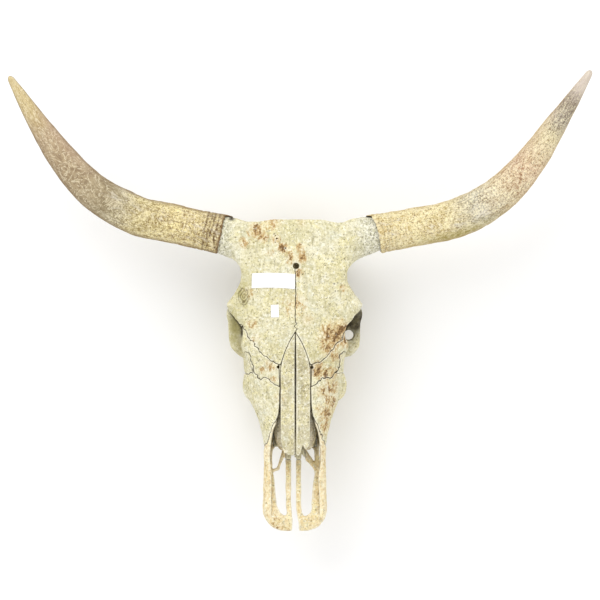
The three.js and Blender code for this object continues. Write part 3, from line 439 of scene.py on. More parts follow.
HORN_ROOTS = [
    (bar((62, 484, 152), (112, 490, 150), 22, 28.5), 14),
    (bar((84, 456, 160), (104, 470, 154), 14, 14), 12),
]
BRAINCASE = [(ellipsoid((0, 345, 140), (49, 75, 48)), 12),
             (ellipsoid((0, 428, 114), (61, 82, 72)), 12)]
THROAT = (block((0, 366, 48), (19, 62, 28), 12), 4)
FORAMEN_MAGNUM = (bar((0, 520, 74), (0, 458, 80), 18, 17), 4)
FOREHEAD_HOLE = (bar((1, 441, 205), (1, 441, 172), 6.4, 4.6), 1.5)
KNOT_DENT = (ellipsoid((-88, 389, 189), (6, 13, 4)), 3)
ORBIT_HOLES = [(bar((89.5, 325, 160), (88.5, 327, 40), 8.8, 8), 3),
               (bar((-86, 341, 160), (-86, 343, 96), 3.4, 3), 2)]


def bone_grid(low, high, step):
    """The whole skull's bone in a box."""
    grid = Grid(low, high, step)
    x, y, z = grid.points()
    face = face_body(x, y, z)
    grid.values[:] = smooth_max(face, z - PREMAXILLA_TOP(y), 3)
    front, nx, ny, nz = grid.open(low=(-200, -50, -50), high=(200, 235, 300))
    if 0 not in grid.values[front].shape:
        near = face[front]
        bone = smooth_max(grid.values[front], -nasal_cavity(nx, ny, nz, near), 3)
        bone = smooth_max(bone, -palate_slots(nx, ny), 2)
        plan = np.minimum(nasal_plan(1, nx, ny), nasal_plan(-1, nx, ny)) - 0.3
        nasals = largest(near, plan, CROWN(ny) - 12 - nz)
        grid.values[front] = np.minimum(bone, nasals)
    for ax, ay, bx, by, ra, rb in BRIDGES:
        grid.join(bar(palate_point(ax, ay), palate_point(bx, by), ra, rb), 3)
    for sign in (1, -1):
        facial_tuber = ellipsoid((76 - sign, 240, 98), (10, 18, 11))
        grid.join(mirrored(facial_tuber, sign), 12)
    grid.join((roof, (-130, 270, 150), (130, 530, 200)), 16)
    for shape, k in BRAINCASE:
        grid.join(shape, k)
    grid.join((nuchal_wall, (-115, 430, 30), (115, 525, 190)), 14)
    for sign in (1, -1):
        for shape, k in HORN_ROOTS:
            grid.join(mirrored(shape, sign), k)
        for shape, k in CHEEK_BONES:
            grid.join(leaned(mirrored(shape, sign)), k)
    for horn in HORNS:
        grid.join(core_shape(horn), 12)
    orbit = bar(ORBIT_CENTRE, ORBIT_APEX, ORBIT_RADIUS, 20)
    for sign in (1, -1):
        grid.cut(leaned(mirrored(orbit, sign)), 5)
    for sign in (1, -1):
        for shape, k in THROAT_BONES:
            grid.join(mirrored(shape, sign), k)
    for hx, hy, radius in HOLES:
        grid.cut(bar((hx, hy, 205), (hx, hy, 168), radius * 1.15, radius * 0.8), 0.8)
    for shape, k in (THROAT, FORAMEN_MAGNUM, FOREHEAD_HOLE, KNOT_DENT, *ORBIT_HOLES):
        grid.cut(shape, k)
    grid.values = np.maximum(grid.values, -z)
    return grid


# ------------------------------------------------------------------ sutures in plan

# Both nasals share a side; the right one's tip is cleft, the left one's worn to one slope.
NASAL_SIDE = [(0.2, 331.5), (10, 315), (17, 299.5), (22.5, 283), (25, 268), (25, 150)]
NASAL_MIDDLE = [(0.6, 127), (0.8, 200), (1.0, 280)]
NASAL_TIPS = {
    1: [(24.5, 146), (22, 139.5), (19.5, 138.5), (17.5, 136), (14.5, 137.5), (12.6, 142.5),
        (10.8, 137), (9.4, 129.5), (6.5, 125.5), (4.2, 124.2), (2.4, 126)],
    -1: [(23.5, 144), (22.5, 139), (19.5, 134.5), (18, 130), (14.5, 128.5), (12, 126), (8.5, 126.5),
         (6, 124.6), (3, 125.4)],
}
FRONTAL_LACRIMAL = [(27.5, 278.3), (41, 283), (50, 290), (58, 297), (63, 305), (75, 318),
                    (84, 335), (88, 342)]
LACRIMAL = [*FRONTAL_LACRIMAL, (130, 342), (130, 299), (78, 297), (73.5, 289), (71, 270),
            (66.6, 262.4), (58.8, 252.7), (51, 255), (45.5, 253.6), (36.5, 245.8), (26, 240)]
ZYGOMATIC = [(67, 262.5), (130, 264), (130, 404), (86, 404), (86, 395), (74, 395), (82, 372),
             (79, 350), (79, 298), (73.5, 289), (71, 270)]
FRONTAL_HALF = [(25.3, 276.5), *FRONTAL_LACRIMAL[1:], (130, 342), (130, 545)]
FRONTAL = [(0, 331.7), *FRONTAL_HALF, *[(-x, y) for x, y in reversed(FRONTAL_HALF)]]
HORN_BASE = [(84, 449), (130, 449), (130, 545), (84, 545)]


def polygon(points, x, y):
    """Signed distance in plan to a closed outline, negative inside."""
    nearest = np.full(np.broadcast(x, y).shape, 1e9, dtype=np.float32)
    inside = np.zeros(nearest.shape, dtype=bool)
    for (ax, ay), (bx, by) in zip(points, points[1:] + points[:1]):
        ex, ey = bx - ax, by - ay
        t = np.clip(((x - ax) * ex + (y - ay) * ey) / (ex * ex + ey * ey), 0, 1)
        nearest = np.minimum(nearest, np.hypot(x - ax - ex * t, y - ay - ey * t))
        if ay != by:
            crosses = (ay > y) != (by > y)
            at = ax + (y - ay) * ex / ey
            inside ^= crosses & (x < at)
    return np.where(inside, -nearest, nearest)


def nasal_plan(sign, x, y):
    return polygon([*NASAL_SIDE, *NASAL_TIPS[sign], *NASAL_MIDDLE], sign * x, y)


def wiggled(x, y, z):
    """Places shifted so that a straight cut becomes a toothed suture; the nasals stay straight."""
    flat = np.zeros(1, dtype=np.float32)
    free = np.maximum(ease(np.abs(x), 27, 42), ease(y, 334, 350))
    dx = 2.1 * noise(x, y, flat, 5.5) + 1.5 * noise(x, y, flat, 2.6, 3.3) + noise(x, y, flat, 17)
    dy = 2.1 * noise(x, y, flat, 5.5, 7.7) + 1.5 * noise(x, y, flat, 2.6, 5.1)
    dz = 1.6 * noise(x, y, flat, 6.0, 2.2) + 2.4 * noise(x, y, flat, 22, 6.4)
    return x + dx * free, y + dy * free, z + dz * free


def nasal_floor(y):
    return CROWN(y) - 11 + 0.02 * (y - 125)


def nasal_region(sign, x, y, z):
    return np.maximum(nasal_plan(sign, x, y), nasal_floor(y) - z)


def both_nasals(x, y, z):
    return np.minimum(nasal_region(1, x, y, z), nasal_region(-1, x, y, z))


def frontal_region(x, y, z):
    plate = np.maximum(polygon(FRONTAL, x, y), FRONTAL_FLOOR - z)
    base = np.maximum(polygon(HORN_BASE, np.abs(x), y), HORN_BASE_FLOOR - z)
    return np.maximum(np.minimum(plate, base), -both_nasals(x, y, z))


def lacrimal_region(sign, x, y, z):
    own = np.maximum(polygon(LACRIMAL, sign * x, y), LACRIMAL_FLOOR - z)
    return largest(own, -frontal_region(x, y, z), -both_nasals(x, y, z))


def zygomatic_region(sign, x, y, z):
    own = largest(polygon(ZYGOMATIC, sign * x, y), z - FRONTAL_FLOOR, ZYGOMATIC_FLOOR - z)
    return np.maximum(own, -lacrimal_region(sign, x, y, z))


PREMAXILLA_REAR = [(62, 118), (54, 135), (47.5, 150), (40, 168), (32, 184), (29.5, 190),
                   (28.5, 184), (36.2, 160), (36.2, 139), (16.2, 139), (16.2, 118), (0, 118)]
PREMAXILLA_STEPS = [(0, -9), (62, -9), *PREMAXILLA_REAR]
MAXILLA_STEPS = [*PREMAXILLA_REAR[::-1], (130, 118), (130, 352), (0, 352)]


def premaxilla_region(sign, x, y, z):
    return polygon(PREMAXILLA_STEPS, sign * x, y) - 0.3


def maxilla_region(sign, x, y, z):
    own = polygon(MAXILLA_STEPS, sign * x, y)
    gap = 1.3 * ease(250 - y, 0, 30)
    return largest(own, -frontal_region(x, y, z), gap - both_nasals(x, y, z),
                   -lacrimal_region(sign, x, y, z), -zygomatic_region(sign, x, y, z))


TEMPORAL = [(30, 395), (85.9, 395), (85.9, 404), (105.7, 404), (105.7, 510), (81, 510),
            (81, 448), (30, 448)]


def temporal_region(sign, x, y, z):
    return largest(polygon(TEMPORAL, sign * x, y), z - FRONTAL_FLOOR, -frontal_region(x, y, z))


def occiput_region(x, y, z):
    own = np.maximum(np.abs(x) - 81, 448 - y)
    return largest(own, z - FRONTAL_FLOOR, -frontal_region(x, y, z))


def skull_base_region(x, y, z):
    side = np.abs(x)
    wide = largest(side - 78, 352 - y, y - 395)
    narrow = largest(side - 30, 390 - y, y - 448)
    return np.maximum(np.minimum(wide, narrow), z - FRONTAL_FLOOR)


# ------------------------------------------------------------------ meshing

def surface_net(grid):
    """Vertices and quads of the surface where the grid's values are zero."""
    values = grid.values.copy()
    for axis in range(3):
        edge = [slice(None)] * 3
        for end in (0, -1):
            edge[axis] = end
            values[tuple(edge)] = np.maximum(values[tuple(edge)], 0.5)
    inside = values < 0
    count = np.array(values.shape)
    cells = count - 1
    mixed = np.zeros(cells, dtype=bool)
    first = inside[:-1, :-1, :-1]
    corners = [(i, j, k) for i in (0, 1) for j in (0, 1) for k in (0, 1)]
    for i, j, k in corners[1:]:
        part = inside[i:i + cells[0], j:j + cells[1], k:k + cells[2]]
        mixed |= part != first
    at = np.argwhere(mixed)
    number = np.full(cells, -1, dtype=np.int64)
    number[mixed] = np.arange(len(at))
    total = np.zeros((len(at), 3))
    hits = np.zeros(len(at))
    for axis in range(3):
        for pair in range(4):
            near = [0, 0, 0]
            near[(axis + 1) % 3] = pair & 1
            near[(axis + 2) % 3] = pair >> 1
            far = list(near)
            far[axis] = 1
            a = values[tuple((at + near).T)]
            b = values[tuple((at + far).T)]
            crossed = (a < 0) != (b < 0)
            place = np.tile(np.array(near, dtype=float), (len(at), 1))
            place[:, axis] = np.where(crossed, a / np.where(crossed, a - b, 1), 0)
            total += place * crossed[:, None]
            hits += crossed
    start = np.array([axis[0] for axis in grid.axes])
    vertices = start + (at + total / hits[:, None]) * grid.step
    quads = []
    for axis in range(3):
        u, v = (axis + 1) % 3, (axis + 2) % 3
        low = [slice(None)] * 3
        high = [slice(None)] * 3
        low[axis] = slice(0, -1)
        high[axis] = slice(1, None)
        a, b = inside[tuple(low)], inside[tuple(high)]
        change = np.argwhere(a != b)
        change = change[(change[:, u] > 0) & (change[:, v] > 0)]
        outward = a[tuple(change.T)]
        ring = []
        for du, dv in ((0, 0), (1, 0), (1, 1), (0, 1)):
            cell = change.copy()
            cell[:, u] -= du
            cell[:, v] -= dv
            ring.append(number[tuple(cell.T)])
        ring = np.stack(ring, axis=1)
        ring[~outward] = ring[~outward][:, ::-1]
        quads.append(ring)
    return vertices, np.concatenate(quads)


def vertex_normals(vertices, quads):
    normal = np.cross(vertices[quads[:, 2]] - vertices[quads[:, 0]],
                      vertices[quads[:, 3]] - vertices[quads[:, 1]])
    total = np.zeros_like(vertices)
    for corner in range(4):
        for axis in range(3):
            total[:, axis] += np.bincount(quads[:, corner], normal[:, axis], len(vertices))
    length = np.linalg.norm(total, axis=1, keepdims=True)
    return total / np.maximum(length, 1e-9)


def spread(values, quads, count, rounds):
    """Values averaged over the mesh, from neighbour to neighbour, a number of times."""
    pairs = np.concatenate([quads[:, [k, (k + 1) % 4]] for k in range(4)])
    degree = np.bincount(pairs.ravel(), minlength=count)
    for _ in range(rounds):
        total = np.bincount(pairs[:, 0], values[pairs[:, 1]], count)
        total += np.bincount(pairs[:, 1], values[pairs[:, 0]], count)
        values = 0.3 * values + 0.7 * total / np.maximum(degree, 1)
    return values


def wear(vertices, quads, reach):
    """How far each vertex lies below its near and its wider surroundings, in millimetres."""
    normals = vertex_normals(vertices, quads)
    depths = {}
    for name, rounds in (("pit", 2), ("hollow", reach)):
        smooth = np.stack([spread(vertices[:, n], quads, len(vertices), rounds)
                           for n in range(3)], axis=1)
        depths[name] = np.einsum("ij,ij->i", smooth - vertices, normals)
    return depths


def add_piece(name, node, vertices, faces, attributes, material):
    """A visible piece in place of a node, with named values on its vertices."""
    mesh = bpy.data.meshes.new(name)
    size = faces.shape[1]
    mesh.vertices.add(len(vertices))
    mesh.loops.add(faces.size)
    mesh.polygons.add(len(faces))
    placed = (vertices - np.array(ORIGIN)) * MILLIMETRE
    mesh.vertices.foreach_set("co", placed.astype(np.float32).ravel())
    mesh.loops.foreach_set("vertex_index", faces.astype(np.int32).ravel())
    mesh.polygons.foreach_set("loop_start", np.arange(0, faces.size, size, dtype=np.int32))
    mesh.polygons.foreach_set("use_smooth", np.full(len(faces), True))
    mesh.update(calc_edges=True)
    for key, values in attributes.items():
        kind, entry = ("FLOAT", "value") if values.ndim == 1 else ("FLOAT_VECTOR", "vector")
        layer = mesh.attributes.new(key, kind, "POINT")
        layer.data.foreach_set(entry, values.astype(np.float32).ravel())
    mesh.materials.append(material)
    piece = bpy.data.objects.new(name, mesh)
    bpy.context.collection.objects.link(piece)
    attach(piece, "root")
    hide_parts(node)
    return piece


# ------------------------------------------------------------------ weathering

# Brown and orange stains: (x, y, radius, strength) in plan.
STAINS = [(-66, 499, 14, 1.0), (-54, 488, 9, 1.0), (-33, 485, 8, 1.0), (-19, 471, 9, 1.1),
          (-13, 462, 8, 0.9), (8, 471, 8, 0.9), (10, 455, 10, 0.9), (6, 430, 8, 0.9),
          (-8, 452, 10, 0.7), (-42, 463, 9, 0.5), (-40, 516, 18, 0.8), (10, 513, 10, 0.5),
          (62, 327, 21, 1.1), (74, 338, 14, 1.25), (55, 305, 14, 0.95), (36, 268, 13, 1.15),
          (80, 318, 12, 1.1), (66, 290, 10, 0.8), (44, 320, 12, 0.5),
          (50, 262, 10, 0.8), (-40, 272, 10, 0.7), (62, 240, 16, 0.7), (66, 205, 18, 0.8),
          (60, 260, 14, 0.7), (78, 222, 10, 1.0), (50, 195, 15, 0.9), (54, 170, 14, 0.8),
          (-28, 8, 14, 1.0), (-36, 252, 7, 0.7), (-56, 268, 6, 0.7), (-46, 280, 6, 0.6),
          (46, 232, 10, 0.9), (60, 214, 12, 1.0), (40, 205, 8, 0.7), (48, 110, 10, 0.6),
          (-14, 4, 10, 0.9), (34, 6, 12, 0.5), (-80, 395, 11, 0.7), (80, 404, 7, 0.7),
          (-72, 345, 12, 0.4), (-66, 320, 12, 0.4), (0, 376, 24, 0.5), (20, 352, 14, 0.5),
          (-26, 223, 12, 0.35), (-85, 478, 12, 0.5), (40, 130, 12, 0.5), (-38, 20, 12, 0.6)]


def stain_at(x, y, z):
    total = np.zeros(len(x))
    for sx, sy, radius, strength in STAINS:
        total = np.maximum(total, strength * spot(x, y, sx, sy, radius, radius))
    return total * (0.3 + 0.7 * ease(z, 108, 146))


def spot(x, y, cx, cy, rx, ry):
    """A soft oval in plan: 1 at its centre, fading outwards."""
    return np.exp(-((x - cx) / rx) ** 2 - ((y - cy) / ry) ** 2)


def painted_shade_at(x, y, z):
    """Painted shade in the orbits, most under the brow and on the right, in the nose, and by the
    left sheath's rim at the poll.
    """
    side = np.abs(x)
    brow = ROOF_HALF(y) + 6 - np.abs(x + brow_lean(y))
    under_brow = ease(brow, 0, 6) * ease(y, 318, 330) * ease(384 - y, 0, 8)
    right = 1.9 * spot(x, y, 99, 354, 15, 22)
    left = 0.1 * spot(x, y, -97, 340, 14, 30)
    orbit = largest(1.2 * under_brow, right, left) * ease(168 - z, 0, 10) * ease(z, 98, 112)
    nose = ease(INNER_WALL(y) + 1.4 - side, 0, 1.4) * ease(y, 124, 176) * ease(232 - y, 0, 4)
    nose = 0.85 * nose * ease(CROWN(y) - 12 - z, 0, 3) * ease(z - palate_level(y), 3, 6)
    sheath_rim = np.exp(-((x + 106) / 5) ** 2) * ease(y, 514, 518.5)
    return np.clip(largest(orbit, nose, sheath_rim), 0, 1)


def olive_at(x, y):
    """Darker, greener bone on the left brow, the forehead's left edge and the left cheek."""
    return largest(spot(x, y, -90, 388, 17, 30), 0.6 * spot(x, y, -84, 420, 10, 26),
                   1.3 * spot(x, y, -101, 340, 12, 34))


def knot_at(x, y, z):
    """Rings of old growth on the left brow."""
    away = np.hypot((x + 86) / 0.72, (y - 390) / 1.1) + 2.6 * noise(x, y, z, 5, 3.1)
    rings = [np.exp(-((away - radius) / 0.9) ** 2) for radius in (2.5, 7.5, 11.5)]
    return largest(*rings) * (z > 160)


def midline_at(x, y):
    """Millimetres to the right of the suture down the middle of the forehead."""
    squiggle = 2.2 * np.sin((y - 334) * 0.72) * ease(y, 333, 336) * ease(350 - y, 0, 6)
    off = x - 0.2 - squiggle + 0.5 * np.sin(y * 0.09) + 0.35 * np.sin(y * 0.41)
    return np.clip(off, -6, 6)


def bone_relief(p, roughness):
    """How far weathering raises or lowers bone, in millimetres."""
    x, y, z = p.T
    rough = roughness * (1 + 1.3 * spot(x, y, 58, 210, 24, 60))
    swell = 0.5 * noise(x, y, z, 19) + 0.3 * noise(x, y, z, 8.5)
    fine = 0.2 * noise(x, y, z, 3.9) + 0.12 * noise(x, y, z, 2.3, 4.4)
    grain = 0.2 * noise(x, y * 0.14, z, 2.6, 8.2)
    pits = -1.1 * np.maximum(noise(x, y, z, 4.4, 2.9) - 0.5, 0)
    flakes = 0.22 * ease(noise(x, y * 0.7, z, 9.5, 6.6), 0.05, 0.2)
    return swell + (fine + grain + pits + flakes) * rough


def bone_piece(name, node, low, high, region, material, roughness=1.0, trim=None, slot="bone"):
    grid = bone_grid(low, high, VOXEL)
    x, y, z = grid.points()
    inset = region(*wiggled(x, y, z)) + SUTURE_HALF
    grid.values[:] = smooth_max(grid.values, inset, SUTURE_ROUND)
    if trim is not None:
        grid.values[:] = trim(grid.values, x, y)
    vertices, quads = surface_net(grid)
    px, py, pz = (np.ascontiguousarray(column, dtype=np.float32) for column in vertices.T)
    seam = -region(*wiggled(px, py, pz))
    relief = bone_relief(vertices, roughness) * np.clip(seam / 3.0, 0.2, 1)
    relief[vertices[:, 2] < 1.0] = 0  # what rests on the floor stays flat
    vertices = vertices + vertex_normals(vertices, quads) * relief[:, None]
    attributes = {
        **wear(vertices, quads, 12),
        "stain": stain_at(px, py, pz),
        # painted shade in the orbits, under the brow, in the nose and by the left sheath's rim
        "painted_shade": painted_shade_at(px, py, pz),
        # painted shade: bone behind the muzzle darker towards the bottom
        "low": ease(165 - pz, 0, 70) * ease(py, 235, 300),
        "olive": olive_at(px, py),
        "knot": knot_at(px, py, pz),
        "midline": midline_at(px, py),
        "on_midline": ease(py, 332, 333) * ease(437 - py, 0, 1) * (pz > 170),
        "porous": ease(np.abs(px), 92, 122) * ease(py, 440, 455),
        "seam": np.clip(4 - seam, 0, 4),
    }
    return add_piece(name, node, vertices, quads, attributes, material)


# ------------------------------------------------------------------ materials

class Nodes:
    """A material's node tree, with short calls for the nodes used here."""

    def __init__(self, name):
        self.material = bpy.data.materials.new(name)
        self.material.use_nodes = True
        self.tree = self.material.node_tree
        self.shader = self.tree.nodes["Principled BSDF"]
        self.base = None  # the base colour as painted so far

    def link(self, value, socket):
        if isinstance(value, bpy.types.NodeSocket):
            self.tree.links.new(value, socket)
        else:
            socket.default_value = value

    def node(self, kind, output, **inputs):
        """A new node's output, with values or other outputs on its named inputs."""
        node = self.tree.nodes.new("ShaderNode" + kind)
        for name, value in inputs.items():
            self.link(value, node.inputs[name.replace("_", " ")])
        return node.outputs[output]

    def place(self):
        return self.node("TexCoord", "Object")

    def scaled(self, vector, scale):
        return self.node("Mapping", "Vector", Vector=vector, Scale=scale)

    def attribute(self, name, output="Fac"):
        value = self.node("Attribute", output)
        value.node.attribute_name = name
        return value

    def noise(self, vector, scale, detail=4.0, roughness=0.6, distortion=0.0):
        return self.node("TexNoise", "Fac", Vector=vector, Scale=scale, Detail=detail,
                         Roughness=roughness, Distortion=distortion)

    def cells(self, vector, scale):
        return self.node("TexVoronoi", "Distance", Vector=vector, Scale=scale)

    def ramp(self, value, low, high, to_low=0.0, to_high=1.0):
        result = self.node("MapRange", "Result", Value=value, From_Min=low, From_Max=high,
                           To_Min=to_low, To_Max=to_high)
        result.node.interpolation_type = "SMOOTHSTEP"
        return result

    def math(self, operation, a, b=0.0):
        node = self.tree.nodes.new("ShaderNodeMath")
        node.operation = operation
        self.link(a, node.inputs[0])
        self.link(b, node.inputs[1])
        return node.outputs[0]

    def times(self, *values):
        total = values[0]
        for value in values[1:]:
            total = self.math("MULTIPLY", total, value)
        return total

    def mix(self, share, a, b):
        node = self.tree.nodes.new("ShaderNodeMix")
        node.data_type = "RGBA"
        self.link(share, node.inputs["Factor"])
        self.link(rgba(a), node.inputs["A"])
        self.link(rgba(b), node.inputs["B"])
        return node.outputs["Result"]

    def paint(self, colour, *shares):
        """Paint the base over with a display colour, as strongly as the shares' product."""
        self.base = self.mix(self.times(*shares), self.base, srgb(*colour))

    def colours(self, value, stops):
        """Display colours along a value, as (place, red, green, blue) stops."""
        colour = self.node("ValToRGB", "Color", Fac=value)
        band = colour.node.color_ramp
        while len(band.elements) < len(stops):
            band.elements.new(0.5)
        for element, (place, *shade) in zip(band.elements, stops):
            element.position = place
            element.color = rgba(srgb(*shade))
        return colour

    def bump(self, height, distance, strength=1.0):
        return self.node("Bump", "Normal", Strength=strength, Distance=distance, Height=height)

    def finish(self, colour, roughness, normal=None):
        self.link(rgba(colour), self.shader.inputs["Base Color"])
        self.link(roughness, self.shader.inputs["Roughness"])
        if normal is not None:
            self.link(normal, self.shader.inputs["Normal"])
        return self.material


def srgb(red, green, blue):
    """A colour read in display values 0 to 255, in linear light."""
    linear = []
    for value in (red, green, blue):
        v = value / 255
        linear.append(v / 12.92 if v <= 0.04045 else ((v + 0.055) / 1.055) ** 2.4)
    return tuple(linear)


def rgba(colour):
    if isinstance(colour, tuple) and len(colour) == 3:
        return (*colour, 1.0)
    return colour


def bone_material(name, pale, mid, dark, greenness=1.0):
    n = Nodes(name)
    place = n.place()
    broad = n.noise(place, 20, 5, 0.62, 0.3)
    patch = n.noise(place, 75, 6, 0.7, 0.2)
    mottle = n.noise(place, 230, 5, 0.7, 0.4)
    speckle = n.noise(place, 330, 4, 0.65, 0.6)
    grain = n.noise(n.scaled(place, (1, 0.16, 1)), 260, 4, 0.6)
    tint = n.noise(place, 34, 5, 0.65, 1.0)
    n.base = n.mix(n.ramp(broad, 0.36, 0.66), srgb(*mid), srgb(*pale))
    n.paint((240, 230, 172), n.ramp(tint, 0.5, 0.6), 0.5)
    n.paint((220, 221, 200), n.ramp(tint, 0.46, 0.37), 0.5 * greenness)
    n.paint(dark, n.ramp(patch, 0.5, 0.7), 0.75)
    shade = (188, 181, 132) if greenness > 0.5 else (206, 178, 126)
    n.paint(shade, n.ramp(mottle, 0.5, 0.64), 0.6)
    n.paint((254, 252, 236), n.ramp(mottle, 0.48, 0.36), 0.7)
    n.paint((150, 142, 104), n.ramp(grain, 0.52, 0.72), 0.5)
    flecks = n.times(n.ramp(speckle, 0.57, 0.63), n.ramp(tint, 0.4, 0.56, 0.35, 1.0))
    n.paint((104, 92, 60), flecks, 0.8)

    # rough, open bone on the horns' bases and in the nose
    porous = n.attribute("porous")
    holes = n.ramp(n.cells(place, 330), 0.12, 0.36)
    smooth_bone = n.base
    n.base = n.mix(n.ramp(mottle, 0.42, 0.58), srgb(244, 241, 222), srgb(206, 202, 172))
    n.paint((128, 120, 92), n.ramp(speckle, 0.5, 0.66), 0.55)
    n.paint((100, 88, 62), n.math("SUBTRACT", 1.0, holes), 0.75)
    share = n.times(porous, n.ramp(patch, 0.3, 0.5, 0.6, 1.0))
    n.base = n.mix(share, smooth_bone, n.base)

    # stains, broken up into ragged patches with pale and dark parts
    stain = n.attribute("stain")
    streak = n.noise(n.scaled(place, (1, 0.42, 1)), 120, 5, 0.72, 0.6)
    broken = n.math("ADD", n.times(n.math("SUBTRACT", streak, 0.5), 4.2),
                    n.times(n.math("SUBTRACT", mottle, 0.5), 2.4))
    ragged = n.math("ADD", stain, broken)
    n.paint((224, 200, 146), n.ramp(stain, 0.05, 0.8), 0.45)
    n.paint((198, 166, 114), n.ramp(ragged, 0.5, 0.8), n.ramp(stain, 0.08, 0.4))
    n.paint((128, 98, 60), n.ramp(ragged, 0.95, 1.15), n.ramp(stain, 0.15, 0.45))
    n.paint((250, 240, 214), n.ramp(ragged, 0.2, -0.25), n.ramp(stain, 0.2, 0.6))
    n.paint((84, 60, 34), n.ramp(speckle, 0.54, 0.61), n.ramp(ragged, 0.55, 0.95),
            n.ramp(stain, 0.25, 0.6), 0.8)
    # painted shade, darker towards the bottom behind the muzzle
    n.paint((168, 156, 104), n.attribute("low"), 0.25)
    n.paint((186, 178, 120), n.attribute("olive"), n.ramp(patch, 0.3, 0.6, 0.25, 0.75))
    n.paint((150, 136, 86), n.attribute("olive"), n.ramp(n.cells(place, 120), 0.3, 0.1), 0.35)

    # dirt in the hollows, wear on what stands out, painted shade in the orbits and nose
    n.paint((126, 104, 66), n.ramp(n.attribute("hollow"), 0.5, 3.0), 0.6)
    n.paint((110, 92, 60), n.ramp(n.attribute("pit"), 0.04, 0.3), 0.7)
    n.paint((250, 246, 224), n.ramp(n.attribute("pit"), -0.03, -0.2), 0.5)
    n.paint((108, 96, 58), n.attribute("knot"), n.ramp(patch, 0.3, 0.6, 0.65, 1.0))
    # painted shade: dark brown where the orbits, the nose and the left sheath's rim lie in shade
    n.paint((56, 47, 29), n.attribute("painted_shade"), n.ramp(patch, 0.75, 0.35, 0.7, 1.0))
    line = n.times(n.attribute("on_midline"),
                   n.ramp(n.math("ABSOLUTE", n.attribute("midline")), 0.75, 0.4))
    n.paint((50, 40, 26), line)
    n.paint((84, 64, 38), n.ramp(n.attribute("seam"), 2.9, 3.7),
            n.ramp(patch, 0.3, 0.6, 0.45, 1.0), 0.9)

    pores = n.ramp(n.cells(place, 420), 0.05, 0.24)
    height = n.math("ADD", n.times(pores, 0.35), n.times(grain, 0.9))
    height = n.math("ADD", height, mottle)
    height = n.math("ADD", height, n.times(porous, holes, 1.2))
    height = n.math("SUBTRACT", height, n.times(line, 1.5))
    n.shader.inputs["Specular IOR Level"].default_value = 0.28
    return n.finish(n.base, n.ramp(patch, 0.3, 0.7, 0.72, 0.95), n.bump(height, 0.0013))


def enamel_material():
    n = Nodes("tooth_enamel")
    place = n.place()
    streak = n.noise(n.scaled(place, (1, 1, 0.2)), 260, 4, 0.6)
    patch = n.noise(place, 90, 4, 0.6)
    n.base = n.mix(n.ramp(patch, 0.35, 0.68), srgb(226, 214, 176), srgb(188, 164, 112))
    n.paint((134, 104, 60), n.ramp(streak, 0.5, 0.7), 0.5)
    n.paint((78, 58, 34), n.ramp(n.attribute("hollow"), 0.1, 0.9), 0.8)
    n.shader.inputs["Coat Weight"].default_value = 0.15
    return n.finish(n.base, 0.45, n.bump(streak, 0.0008, 0.6))


def paper_material():
    n = Nodes("blank_paper")
    place = n.place()
    fibre = n.noise(place, 900, 3, 0.6)
    age = n.noise(place, 60, 4, 0.6)
    base = n.mix(n.ramp(age, 0.45, 0.75), srgb(250, 250, 250), srgb(240, 238, 232))
    return n.finish(base, 0.7, n.bump(fibre, 0.0002, 0.4))


# A horn's light and dark colours, from its base to its tip.
LEFT_LIGHT = [(0.0, 212, 184, 126), (0.07, 236, 216, 150), (0.2, 248, 232, 170),
              (0.34, 242, 228, 176), (0.4, 214, 204, 178), (0.46, 176, 160, 128),
              (0.6, 184, 164, 130), (0.76, 196, 174, 140), (0.88, 220, 202, 152),
              (0.97, 234, 218, 172)]
LEFT_DARK = [(0.0, 76, 48, 22), (0.07, 96, 64, 28), (0.2, 132, 98, 46), (0.34, 134, 108, 60),
             (0.4, 138, 124, 96), (0.46, 112, 96, 70), (0.6, 118, 96, 70), (0.76, 130, 104, 78),
             (0.88, 164, 134, 80), (0.97, 190, 164, 104)]
RIGHT_LIGHT = [(0.0, 244, 232, 184), (0.1, 244, 234, 188), (0.3, 242, 230, 182),
               (0.42, 236, 230, 208), (0.5, 236, 222, 186), (0.62, 240, 216, 182),
               (0.74, 240, 228, 190), (0.81, 200, 190, 172), (0.87, 170, 154, 138),
               (0.95, 232, 220, 206)]
RIGHT_DARK = [(0.0, 176, 142, 76), (0.1, 188, 158, 90), (0.3, 174, 148, 86),
              (0.42, 140, 132, 112), (0.5, 150, 116, 76), (0.62, 158, 108, 74),
              (0.74, 172, 150, 100), (0.81, 96, 82, 70), (0.87, 80, 64, 54),
              (0.95, 186, 168, 154)]


